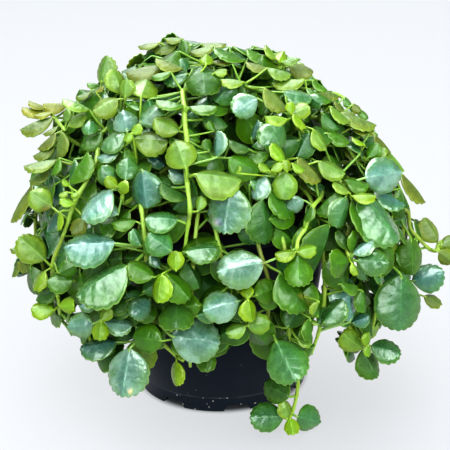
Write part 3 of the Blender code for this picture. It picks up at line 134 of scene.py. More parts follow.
# Leaves as seen from the front: base u, base v, tip u, tip v, width, lift, tone.
SEEN_LEAVES = (
    # upper left
    (101, 84, 107, 56, 20, 2, "l"), (121, 94, 113, 69, 18, 1, "l"),
    (125, 98, 126, 79, 15, 3, "l"), (99, 85, 87, 83, 6, 0, "m"), (91, 92, 76, 97, 6, -2, "o"),
    (118, 99, 93, 112, 21, 3, "l"), (48, 112, 22, 108, 9, 2, "w"), (46, 108, 29, 101, 6, 0, "w"),
    (67, 105, 43, 104, 11, -3, "w"), (90, 110, 63, 99, 10, 2, "l"),
    (53, 117, 20, 129, 12, 2, "o"), (68, 126, 85, 113, 13, 2, "l"),
    (66, 123, 66, 109, 9, -2, "l"), (90, 120, 90, 135, 16, 3, "g"),
    (58, 126, 43, 134, 5, -2, "o"), (56, 133, 38, 149, 9, 0, "o"), (61, 131, 57, 158, 13, 3, "o"),
    (55, 146, 33, 156, 8, -1, "o"), (57, 160, 24, 166, 9, 0, "o"),
    (49, 168, 29, 181, 12, -2, "o"), (59, 158, 51, 175, 9, 2, "m"),
    (33, 184, 10, 221, 7, -1, "o"), (52, 207, 30, 192, 22, 3, "l"),
    (55, 176, 55, 206, 14, -5, "b"), (69, 183, 88, 153, 17, 3, "m"),
    (102, 132, 81, 146, 16, -3, "m"), (125, 133, 101, 149, 19, 3, "g"),
    (119, 150, 97, 158, 12, -5, "b"), (74, 204, 60, 199, 8, 4, "y"),
    (58, 212, 48, 232, 13, -5, "b"), (60, 211, 57, 231, 6, 3, "y"),
    (113, 184, 102, 166, 18, 1, "g"), (117, 187, 106, 177, 12, 6, "y"),
    (117, 187, 129, 187, 13, 6, "y"), (112, 190, 82, 219, 27, 4, "p"),
    (118, 215, 106, 205, 12, -2, "p"), (85, 219, 72, 234, 16, 0, "o"),
    # top
    (183, 39, 165, 38, 6, -6, "o"), (177, 44, 152, 47, 14, -2, "o"),
    (181, 60, 181, 40, 11, -4, "m"), (160, 43, 138, 46, 6, -4, "o"),
    (160, 52, 142, 56, 7, -5, "d"), (183, 69, 156, 58, 10, -1, "o"),
    (163, 65, 126, 73, 17, 1, "o"), (141, 97, 146, 76, 28, 4, "l"), (171, 72, 151, 76, 7, 2, "m"),
    (188, 74, 163, 80, 16, 1, "g"), (202, 65, 206, 97, 34, 4, "d"),
    (206, 65, 206, 53, 13, 6, "y"), (187, 72, 182, 58, 12, -3, "g"),
    (214, 46, 190, 52, 9, -1, "o"), (200, 44, 226, 44, 6, -4, "o"),
    (246, 61, 214, 47, 8, -1, "m"), (212, 62, 233, 57, 8, -2, "o"), (214, 73, 227, 70, 9, 3, "l"),
    (244, 82, 221, 79, 9, 5, "l"), (184, 106, 156, 100, 8, 6, "m"),
    (189, 107, 217, 106, 9, 5, "m"), (123, 98, 160, 104, 9, 2, "g"),
    (139, 124, 161, 106, 21, 3, "g"), (127, 132, 122, 109, 24, 4, "p"),
    (114, 112, 135, 104, 11, -5, "m"), (158, 102, 173, 112, 10, -7, "d"),
    (181, 112, 169, 105, 10, -8, "b"), (180, 131, 154, 119, 20, -1, "l"),
    (188, 129, 196, 111, 12, -8, "d"), (203, 111, 227, 127, 18, 0, "d"),
    (242, 83, 223, 110, 25, -3, "m"), (214, 131, 209, 121, 8, 1, "m"),
    # upper right
    (270, 62, 247, 49, 9, -3, "m"), (278, 60, 266, 45, 8, -1, "l"),
    (279, 61, 284, 50, 15, 0, "y"), (281, 62, 297, 58, 7, 2, "l"), (269, 69, 246, 62, 8, -1, "o"),
    (289, 66, 313, 72, 17, -1, "o"), (267, 68, 291, 75, 12, -2, "l"),
    (305, 80, 272, 83, 14, 3, "l"), (264, 88, 287, 110, 16, 4, "o"),
    (297, 71, 314, 84, 9, -1, "m"), (312, 80, 327, 90, 8, -2, "m"),
    (283, 92, 312, 99, 18, 0, "g"), (306, 88, 331, 101, 9, 1, "m"),
    (316, 88, 339, 96, 8, -3, "o"), (308, 96, 322, 105, 15, 0, "g"),
    (257, 98, 233, 113, 25, 4, "p"), (268, 100, 260, 115, 12, -2, "m"),
    (291, 114, 291, 102, 10, 6, "y"), (292, 114, 310, 107, 16, 4, "l"),
    (288, 119, 265, 116, 12, 4, "y"), (293, 114, 306, 128, 9, 6, "y"),
    (322, 113, 339, 129, 16, -2, "d"), (283, 124, 262, 147, 29, 3, "g"),
    (251, 140, 258, 120, 10, -6, "b"), (341, 113, 376, 125, 11, -2, "o"),
    (345, 112, 335, 101, 5, -3, "o"), (341, 112, 355, 113, 6, -4, "o"),
    (330, 106, 350, 122, 7, 1, "l"),
    # centre
    (132, 134, 141, 125, 10, 7, "y"), (132, 133, 124, 141, 8, 7, "y"),
    (134, 139, 168, 142, 24, 2, "l"), (186, 168, 175, 139, 31, 5, "l"),
    (187, 127, 200, 142, 8, 0, "m"), (193, 152, 211, 161, 16, 2, "m"),
    (209, 151, 206, 139, 10, 2, "m"), (217, 157, 218, 131, 13, 4, "p"),
    (195, 174, 241, 181, 28, 5, "l"), (228, 158, 259, 172, 26, 0, "m"),
    (231, 185, 224, 234, 41, 3, "p"), (126, 180, 127, 157, 22, 2, "g"),
    (148, 152, 165, 166, 13, -7, "b"), (142, 170, 147, 208, 31, 2, "b"),
    (188, 198, 161, 184, 14, -6, "d"), (190, 179, 169, 170, 15, -2, "b"),
    (190, 180, 197, 197, 12, -6, "d"), (198, 211, 201, 196, 11, 1, "l"),
    (178, 220, 145, 219, 21, 0, "g"), (136, 221, 112, 223, 13, -3, "m"),
    (251, 150, 229, 140, 10, -2, "d"), (270, 152, 243, 157, 15, 0, "m"),
    (309, 132, 297, 158, 22, 1, "g"), (313, 129, 326, 150, 14, 2, "l"),
    (327, 133, 349, 142, 14, -2, "m"), (285, 162, 272, 143, 13, 3, "y"),
    (270, 171, 259, 163, 8, 6, "y"), (271, 171, 282, 163, 9, 6, "y"),
    (287, 172, 287, 160, 9, 7, "y"), (292, 163, 305, 170, 8, 6, "y"),
    (266, 176, 253, 199, 18, 2, "p"), (285, 171, 285, 200, 25, 4, "l"),
    (272, 186, 290, 218, 17, -2, "m"), (304, 200, 286, 208, 17, -4, "p"),
    (298, 158, 321, 181, 17, -1, "o"), (318, 161, 345, 174, 18, 1, "l"),
    (340, 190, 315, 213, 16, 1, "m"), (304, 222, 312, 207, 8, 2, "m"),
    (262, 200, 265, 244, 30, 0, "d"),
    # right
    (352, 127, 374, 131, 7, -3, "o"), (365, 145, 352, 137, 6, 2, "y"),
    (368, 158, 378, 143, 13, 0, "m"), (371, 160, 385, 148, 11, -2, "l"),
    (366, 158, 345, 149, 13, -4, "o"), (365, 178, 404, 171, 37, 4, "p"),
    (374, 134, 391, 152, 6, -4, "o"), (388, 151, 404, 171, 9, -3, "l"),
    (402, 174, 425, 202, 7, -5, "o"), (345, 180, 369, 186, 14, -1, "m"),
    (350, 193, 333, 181, 10, 4, "l"), (352, 196, 376, 196, 11, 5, "y"),
    (346, 197, 337, 228, 22, 4, "g"), (352, 200, 371, 236, 12, 0, "m"),
    (361, 194, 399, 242, 38, 3, "g"), (373, 189, 405, 205, 12, -3, "b"),
    (438, 242, 424, 218, 20, -2, "o"), (441, 240, 444, 250, 8, 4, "y"),
    (439, 252, 454, 262, 16, 1, "o"), (441, 246, 458, 236, 14, -2, "o"),
    (411, 238, 412, 275, 30, 1, "m"), (412, 281, 444, 272, 27, -3, "b"),
    (401, 275, 399, 331, 47, 4, "g"), (424, 296, 442, 304, 12, -5, "o"),
    (352, 253, 358, 230, 11, -1, "m"), (353, 254, 373, 240, 13, 2, "p"),
    (357, 261, 389, 262, 26, 5, "g"), (352, 263, 358, 275, 8, 7, "y"),
    (349, 262, 329, 264, 27, 4, "m"), (330, 224, 313, 274, 25, -4, "d"),
    # left low
    (45, 260, 19, 237, 27, 3, "l"), (45, 271, 33, 290, 14, 3, "y"),
    (29, 246, 10, 249, 6, -3, "o"), (22, 257, 28, 272, 15, -2, "o"),
    (18, 262, 12, 277, 6, -3, "o"), (55, 268, 64, 241, 14, 2, "g"),
    (58, 273, 76, 265, 17, 3, "m"), (73, 281, 47, 282, 19, -1, "m"),
    (57, 288, 36, 300, 14, -4, "d"), (54, 310, 31, 309, 16, 3, "y"),
    (59, 306, 75, 305, 16, 3, "y"), (115, 243, 64, 247, 34, 3, "b"),
    (128, 266, 76, 296, 37, 5, "g"), (93, 324, 66, 328, 25, 3, "p"),
    (117, 342, 80, 349, 19, -3, "b"), (101, 321, 109, 307, 12, 6, "y"),
    (101, 321, 100, 340, 17, 6, "y"), (105, 323, 132, 326, 18, 1, "p"),
    (128, 300, 112, 312, 14, -6, "d"), (98, 300, 79, 306, 13, -6, "b"),
    (130, 348, 122, 397, 41, 3, "p"), (162, 341, 132, 338, 29, 3, "m"),
    # front
    (141, 246, 133, 229, 13, 1, "g"), (172, 252, 148, 234, 25, 2, "g"),
    (176, 271, 175, 251, 17, 4, "y"), (154, 277, 128, 264, 19, 2, "m"),
    (160, 268, 152, 254, 11, -4, "b"), (185, 252, 217, 248, 20, 1, "g"),
    (186, 262, 200, 288, 20, -7, "d"), (162, 274, 158, 303, 20, 3, "y"),
    (166, 274, 190, 299, 25, 2, "m"), (176, 300, 178, 327, 34, -6, "d"),
    (150, 300, 133, 315, 23, -6, "b"), (264, 263, 217, 272, 39, 4, "p"),
    (239, 301, 203, 311, 31, 0, "p"), (171, 336, 220, 343, 42, 0, "p"),
    (204, 350, 208, 371, 20, -8, "m"), (213, 341, 226, 335, 12, -5, "d"),
    (176, 361, 176, 386, 14, -8, "y"), (292, 248, 289, 223, 29, 2, "g"),
    (296, 252, 275, 254, 12, 5, "y"), (297, 252, 316, 247, 13, 5, "y"),
    (298, 256, 298, 286, 28, 4, "m"), (280, 272, 304, 311, 28, -2, "m"),
    (249, 298, 246, 285, 13, 3, "y"), (255, 296, 279, 287, 25, 1, "m"),
    (248, 299, 252, 322, 17, 3, "y"), (247, 326, 270, 322, 20, 0, "l"),
    (246, 326, 226, 333, 14, 0, "l"), (241, 322, 231, 303, 15, -6, "d"),
    (287, 328, 299, 302, 25, 0, "d"), (305, 322, 310, 348, 14, -6, "m"),
    (318, 317, 315, 301, 9, 2, "m"), (322, 324, 343, 300, 21, 0, "g"),
    (350, 322, 346, 276, 30, 0, "p"), (362, 290, 364, 313, 14, -5, "m"),
    (352, 323, 369, 316, 14, -3, "b"), (368, 306, 372, 336, 14, -7, "d"),
    (276, 341, 295, 379, 40, 3, "g"), (289, 397, 265, 385, 27, 0, "d"),
    (363, 349, 341, 333, 25, 3, "l"), (371, 346, 401, 354, 22, 3, "g"),
    (367, 347, 369, 332, 9, 6, "y"), (368, 345, 369, 357, 8, 6, "y"),
    (362, 350, 377, 378, 24, 0, "d"),
    # lowest tip
    (284, 416, 250, 418, 28, 3, "g"), (288, 420, 284, 401, 14, 5, "l"),
    (290, 418, 293, 434, 15, 5, "y"), (298, 417, 322, 424, 26, 3, "g"),
)

# Shoots' small leaves that are left out of the solids, listed as the leaves are.
SPROUTS = (
    (319, 301, 313, 316, 8, 4, "l"), (318, 324, 311, 321, 5, 4, "l"),
    (310, 318, 311, 342, 9, 3, "m"), (297, 338, 312, 344, 7, 4, "l"),
    (313, 346, 307, 358, 8, 3, "m"), (308, 347, 315, 345, 4, 3, "m"),
    (69, 186, 63, 180, 6, 3, "y"), (68, 192, 59, 196, 7, 4, "y"), (71, 196, 78, 193, 5, 3, "y"),
    (96, 92, 103, 86, 5, 2, "w"), (52, 112, 34, 115, 6, 3, "w"), (237, 173, 239, 166, 4, 4, "y"),
    (345, 97, 352, 108, 8, 0, "m"), (353, 104, 361, 112, 8, 0, "o"),
    (360, 110, 368, 119, 8, 0, "m"),
)


@dataclass(frozen=True)
class Sizes:
    """Sizes of the solids that the placing rules use, in millimetres."""

    pot_height: float = 105.0
    foot_radius: float = 46.3
    lip_radius: float = 61.4
    lip_height: float = 8.0
    soil_top: float = 100.0
    hole_depth: float = 6.0
    hole_radius: float = 2.6
    foot_gap: float = 0.35
    stem_sides: int = 3
    stem_radius: float = 1.5
    stem_tip_radius: float = 1.0
    stalk_radius: float = 0.68
    stalk_root_radius: float = 0.28
    blade_thickness: float = 1.3
    blade_fold: float = 0.1
    blade_arch: float = 0.05
    width_to_length: float = 0.86
    clearance: float = 0.45
    floor_clearance: float = 1.0
    dome_radius: float = 110.0
    dome_centre: float = 80.0
    skirt_foot_radius: float = 78.0
    smallest_length: float = 10.0

    def wall_radius(self, height: float) -> float:
        """Outer radius of the plain pot wall at a height."""
        rise = height / (self.pot_height - self.lip_height)
        return self.foot_radius + (self.lip_radius - 1.6 - self.foot_radius) * rise


SIZES = Sizes()


def outside(point: Vector) -> float:
    """Distance of a point outside the foliage surface.

    Args:
        point: The point.

    Returns:
        The distance, negative inside.
    """
    if point.z >= SIZES.dome_centre:
        return (point - upward(SIZES.dome_centre)).length - SIZES.dome_radius
    slope = (SIZES.dome_radius - SIZES.skirt_foot_radius) / SIZES.dome_centre
    return hypot(point.x, point.y) - SIZES.skirt_foot_radius - slope * point.z


def outward(point: Vector) -> Vector:
    """Direction straight out of the foliage at a point."""
    return (point - upward(min(SIZES.dome_centre, point.z))).normalized()


def dome_point(height: float, angle: float) -> Vector:
    """Point of the foliage surface.

    Args:
        height: Share of the ball's radius above its middle, -1 to 1.
        angle: Direction in plan, in radians.

    Returns:
        The point, in millimetres.
    """
    flat = sqrt(1.0 - height * height)
    radius, centre = SIZES.dome_radius, SIZES.dome_centre
    if height >= 0.0:
        return Vector((flat * cos(angle) * radius, flat * sin(angle) * radius,
                       centre + height * radius))
    low = centre + height * radius
    foot = SIZES.skirt_foot_radius
    reach = foot + (radius - foot) * max(0.0, low) / centre
    return polar(reach, angle, low)


def polar(radius: float, angle: float, height: float) -> Vector:
    """Point at a radius, an angle and a height round an upright axis."""
    return Vector((radius * cos(angle), radius * sin(angle), height))


def upward(height: float) -> Vector:
    """Upright vector of this length."""
    return Vector((0.0, 0.0, height))


def golden_turn(number: int) -> float:
    """Angle of one place of many that a spiral spreads evenly."""
    return number * pi * (3.0 - sqrt(5.0))


def scatter(rng: Random, reach: float = 1.0) -> Vector:
    """Vector whose three parts are drawn between -reach and reach."""
    return Vector([rng.uniform(-reach, reach) for _ in range(3)])


def curve_point(points: Sequence[Vector], place: float) -> Vector:
    """Smooth curve through the points.

    Args:
        points: Points that the curve passes.
        place: Place along it, from 0 to one less than their count.

    Returns:
        The point of the curve.
    """
    first = min(int(place), len(points) - 2)
    t = place - first
    p1, p2 = points[first], points[first + 1]
    p0 = points[first - 1] if first else p1 * 2 - p2
    p3 = points[first + 2] if first + 2 < len(points) else p2 * 2 - p1
    a = p2 - p0
    b = p0 * 2 - p1 * 5 + p2 * 4 - p3
    c = p1 * 3 - p0 - p2 * 3 + p3
    return (p1 * 2 + a * t + b * (t * t) + c * (t ** 3)) * 0.5


@dataclass
class FrontView:
    """View in which the listed leaves and stems are placed."""

    distance: float = 750.0
    focal: float = 1387.0
    width: float = 450.0
    middle: float = 225.0
    elevation: float = radians(20.0)
    roll: float = radians(1.2)
    looks_at: Spot = (3.2, 0.0, 89.0)
    listed_edge: float = 446.0
    edge_on: float = 0.05
    near_side: float = 190.0
    stride: float = 1.5
    strides: int = 260

    def __post_init__(self) -> None:
        """Work out where the eye stands and how it is turned."""
        level = Vector((0.0, sin(self.elevation), cos(self.elevation)))
        across = Vector((1.0, 0.0, 0.0))
        self.toward = Vector((0.0, -cos(self.elevation), sin(self.elevation)))
        self.right = across * cos(self.roll) - level * sin(self.roll)
        self.up = level * cos(self.roll) + across * sin(self.roll)
        self.eye = Vector(self.looks_at) + self.toward * self.distance

    def ray(self, u: float, v: float) -> Vector:
        """Direction from the eye to a seen place.

        Args:
            u: Place across the view.
            v: Place down the view.

        Returns:
            The direction.
        """
        side = (u - self.middle) / self.focal
        rise = (self.middle - v) / self.focal
        return (self.right * side + self.up * rise - self.toward).normalized()

    def spot(self, u: float, v: float, lift: float) -> Vector:
        """Point seen at u, v on the foliage surface raised by lift.

        Args:
            u: Place across the view.
            v: Place down the view.
            lift: Height above the foliage surface.

        Returns:
            The point, or the nearest one where the ray passes the surface by.
        """
        way = self.ray(u, v)
        best, best_gap = self.eye, 1e9
        for step in range(self.strides):
            point = self.eye + way * (self.distance - self.near_side + self.stride * step)
            gap = outside(point) - lift
            if gap <= 0.0:
                return point
            if gap < best_gap:
                best, best_gap = point, gap
        return best

    def seen(self, point: Vector) -> Tuple[float, float]:
        """Place at which a point is seen.

        Args:
            point: The point.

        Returns:
            Its places across and down the view.
        """
        ray = point - self.eye
        depth = -ray.dot(self.toward)
        return (self.middle + self.focal * ray.dot(self.right) / depth,
                self.middle - self.focal * ray.dot(self.up) / depth)

    def scale(self, point: Vector) -> float:
        """Millimetres per unit of the front view at a point."""
        return -(point - self.eye).dot(self.toward) / self.focal

    def hidden(self, point: Vector) -> bool:
        """True where no leaf is listed because the view doesn't show the place."""
        past_edge = self.seen(point)[0] > self.listed_edge
        return past_edge or outward(point).dot(self.toward) < self.edge_on


def plain_tube(points: Sequence[Vector], radii: Sequence[float], sides: int) -> Solid:
    """Coarse closed tube that keeps room for a stem.

    Args:
        points: Middle line.
        radii: Radius at each point.
        sides: Number of sides.

    Returns:
        Its vertices and faces.
    """
    verts: List[Vector] = []
    faces: List[Tuple[int, ...]] = []
    side = None
    for i, point in enumerate(points):
        ahead = points[min(i + 1, len(points) - 1)] - points[max(i - 1, 0)]
        ahead.normalize()
        if side is None:
            side = ahead.orthogonal().normalized()
        side = (side - ahead * side.dot(ahead)).normalized()
        other = ahead.cross(side)
        for k in range(sides):
            turn = 2.0 * pi * k / sides
            verts.append(point + (side * cos(turn) + other * sin(turn)) * radii[i])
    for i in range(len(points) - 1):
        for k in range(sides):
            a, b = i * sides + k, i * sides + (k + 1) % sides
            faces.append((a, b, b + sides))
            faces.append((a, b + sides, a + sides))
    last = (len(points) - 1) * sides
    for k in range(1, sides - 1):
        faces.append((0, k + 1, k))
        faces.append((last, last + k, last + k + 1))
    return verts, faces


class RoomOutline(Enum):
    """Half outline of a blade: share of the length, share of the half width."""

    BIG = ((0.2, 0.68), (0.44, 1.0), (0.63, 1.0), (0.69, 0.89), (0.86, 0.74), (0.91, 0.52))
    MIDDLE = ((0.22, 0.7), (0.5, 1.0), (0.76, 0.88), (0.83, 0.66))
    SMALL = ((0.26, 0.76), (0.58, 1.0), (0.86, 0.7))

    @staticmethod
    def of(length: float) -> "RoomOutline":
        """Outline for a blade of this length."""
        if length > 22.0:
            return RoomOutline.BIG
        return RoomOutline.MIDDLE if length > 12.0 else RoomOutline.SMALL


def strip(left: Sequence[Tuple[float, int]],
          right: Sequence[Tuple[float, int]]) -> List[Tuple[int, ...]]:
    """Triangles between two chains of (share, index) that end in the same vertex.

    Args:
        left: First chain.
        right: Second chain.

    Returns:
        The triangles.
    """
    faces = []
    i = j = 0
    while i < len(left) - 1 or j < len(right) - 1:
        step_left = j == len(right) - 1
        if not step_left and i < len(left) - 1:
            step_left = left[i + 1][0] <= right[j + 1][0]
        if step_left:
            face = (left[i][1], left[i + 1][1], right[j][1])
            i += 1
        else:
            face = (left[i][1], right[j + 1][1], right[j][1])
            j += 1
        if len(set(face)) == 3:
            faces.append(face)
    return faces


def room_solid(place: Matrix, root: Vector, length: float, width: float,
               extra: float) -> Solid:
    """Coarse leaf that keeps room for a fine one, the stalk's six corners first.

    Args:
        place: Matrix of the blade's own axes.
        root: Point where the stalk leaves the stem.
        length: Length of the blade.
        width: Width of the blade.
        extra: How much thicker it is made on every side.

    Returns:
        Its vertices and faces.
    """
    fold, thick = SIZES.blade_fold * width, SIZES.blade_thickness * 0.5 + extra
    stalk = SIZES.stalk_radius + extra
    base, side, up = place.translation, place.col[1].xyz, place.col[2].xyz
    way = (base - root).normalized() if (base - root).length > 0.5 else place.col[0].xyz
    start = root + way * 0.15
    fine = SIZES.stalk_root_radius + extra
    cross = way - side * way.dot(side)
    low = side.cross(cross.normalized()) if cross.length > 0.2 else -up
    arch_top = SIZES.blade_arch * length
    verts = [start + side * fine, start - side * fine, start + low * fine * 1.3,
             base + side * stalk * 1.1, base - side * stalk * 1.1, base - up * thick * 1.6,
             place @ Vector((length, 0.0, -0.3 * fold)),
             place @ Vector((0.5 * length, 0.0, arch_top + thick)),
             place @ Vector((0.5 * length, 0.0, arch_top - thick))]
    chains = []
    for sign in (1.0, -1.0):
        chain = [(-0.5, 0 if sign > 0 else 1), (0.0, 3 if sign > 0 else 4)]
        for t, share in RoomOutline.of(length).value:
            chain.append((t, len(verts)))
            arch = 4.0 * SIZES.blade_arch * length * t * (1.0 - t)
            verts.append(place @ Vector((t * length, sign * share * width * 0.5,
                                         arch - fold * share)))
        chains.append(chain + [(1.0, 6)])
    left, right = chains
    faces = [(0, 1, 4), (0, 4, 3), (0, 2, 1), (3, 4, 7)]
    faces += strip(left[1:], [(0.5, 7), (1.0, 6)]) + strip(right[1:], [(0.5, 7), (1.0, 6)])
    below = [(-0.5, 2), (0.0, 5), (0.5, 8), (1.0, 6)]
    return verts, faces + strip(left, below) + strip(right, below)


@dataclass
class Leaf:
    """One leaf: where its blade starts, which way it points and faces, and its size."""

    base: Vector
    ahead: Vector
    face: Vector
    length: float
    tone: str
    filling: bool = False

    def __post_init__(self) -> None:
        """Make the directions square, and start the stalk at the blade."""
        self.ahead = self.ahead.normalized()
        self.face = (self.face - self.ahead * self.face.dot(self.ahead)).normalized()
        self.width = SIZES.width_to_length * self.length
        self.root = self.base

    def middle(self) -> Vector:
        """Middle of the blade."""
        return self.base + self.ahead * (0.5 * self.length)

    def place(self) -> Matrix:
        """Matrix that carries the blade's own axes to the plant."""
        side = self.face.cross(self.ahead)
        rows = Matrix((self.ahead, side, self.face)).transposed()
        return Matrix.Translation(self.base) @ rows.to_4x4()

    def solid(self, extra: float = 0.0) -> Solid:
        """Coarse blade and stalk, thicker by extra."""
        grow = 1.0 + extra * 0.04
        return room_solid(self.place(), self.root, self.length * grow, self.width * grow, extra)

    def slim(self) -> Solid:
        """Coarse blade without its stalk."""
        verts, faces = self.solid(0.1)
        return verts, [face for face in faces if min(face) > 5]


class Stem:
    """One stem: its smooth route and the leaves that grow on it."""

    def __init__(self, name: str, points: Sequence[Vector], steps: int) -> None:
        """Lay the route.

        Args:
            name: Name of the solid that it stands for.
            points: Points of the route, the foot first.
            steps: Number of knots that the solid's tube has.
        """
        self.name = name
        places = [1.0 + k * (len(points) - 2) / (steps - 1) for k in range(steps)]
        self.points = [points[0]] + [curve_point(points, place) for place in places]
        self.knots = list(points)
        self.leaves: List[Leaf] = []
        self.extras: List[Leaf] = []
        self.hole = Vector((points[0].x, points[0].y, SIZES.soil_top))

    def solid(self, extra: float = 0.0) -> Solid:
        """Coarse tube of this stem.

        Args:
            extra: How much thicker it is made.

        Returns:
            Its vertices and faces.
        """
        count = len(self.points) - 1
        thin = SIZES.stem_radius - SIZES.stem_tip_radius
        radii = [SIZES.stem_radius - thin * i / count + extra for i in range(count + 1)]
        return plain_tube(self.points, radii, SIZES.stem_sides)

    def nearest(self, point: Vector) -> Tuple[Vector, float]:
        """Closest place on the stem above the soil.

        Args:
            point: The point to be near.

        Returns:
            The place and its distance.
        """
        best, best_gap = self.points[-1], 1e9
        last = len(self.points) - 2
        for i, (a, b) in enumerate(zip(self.points, self.points[1:])):
            if a.z < SIZES.soil_top + 6.0 and hypot(a.x, a.y) < SIZES.lip_radius:
                continue
            along = b - a
            limit = 1.0 - 2.0 / along.length if i == last else 1.0
            t = max(0.0, min(limit, (point - a).dot(along) / along.length_squared))
            place = a + along * t
            if (place - point).length < best_gap:
                best, best_gap = place, (place - point).length
        return best, best_gap


class Room:
    """Coarse solids already placed, with fast tests for a crossing."""

    def __init__(self) -> None:
        """Start with nothing placed."""
        self.rows: List[Tuple[str, str, BVHTree, Vector, Vector]] = []

    def add(self, owner: str, solid: Solid, kind: str) -> None:
        """Remember a solid that belongs to owner."""
        self.rows.append((owner, kind) + self.packed(solid))

    @staticmethod
    def packed(solid: Solid) -> Tuple[BVHTree, Vector, Vector]:
        """Search tree of a solid.

        Args:
            solid: Its vertices and faces.

        Returns:
            The tree, and the lowest and highest corner of its box.
        """
        verts, faces = solid
        low = Vector([min(v[i] for v in verts) for i in range(3)])
        high = Vector([max(v[i] for v in verts) for i in range(3)])
        return BVHTree.FromPolygons(verts, faces), low, high

    def crosses(self, solid: Solid, kinds: Tuple[str, ...], own: Optional[str] = None,
                others: Optional[str] = None) -> bool:
        """Test a solid against those remembered.

        Args:
            solid: The solid to test.
            kinds: Kinds that it must not cross.
            own: Test only this owner's solids.
            others: Leave this owner's solids out.

        Returns:
            True if it crosses one of them.
        """
        tree, low, high = self.packed(solid)
        for owner, kind, other, other_low, other_high in self.rows:
            if kind not in kinds or owner == others or own not in (None, owner):
                continue
            if any(low[i] > other_high[i] or high[i] < other_low[i] for i in range(3)):
                continue
            if tree.overlap(other):
                return True
        return False


@dataclass(frozen=True)
class Filling:
    """Layer of leaves that fills the crown, with the ranges that they are drawn from."""

    tries: int
    heights: Tuple[float, float]
    lengths: Tuple[float, float]
    tones: str
    seed: int


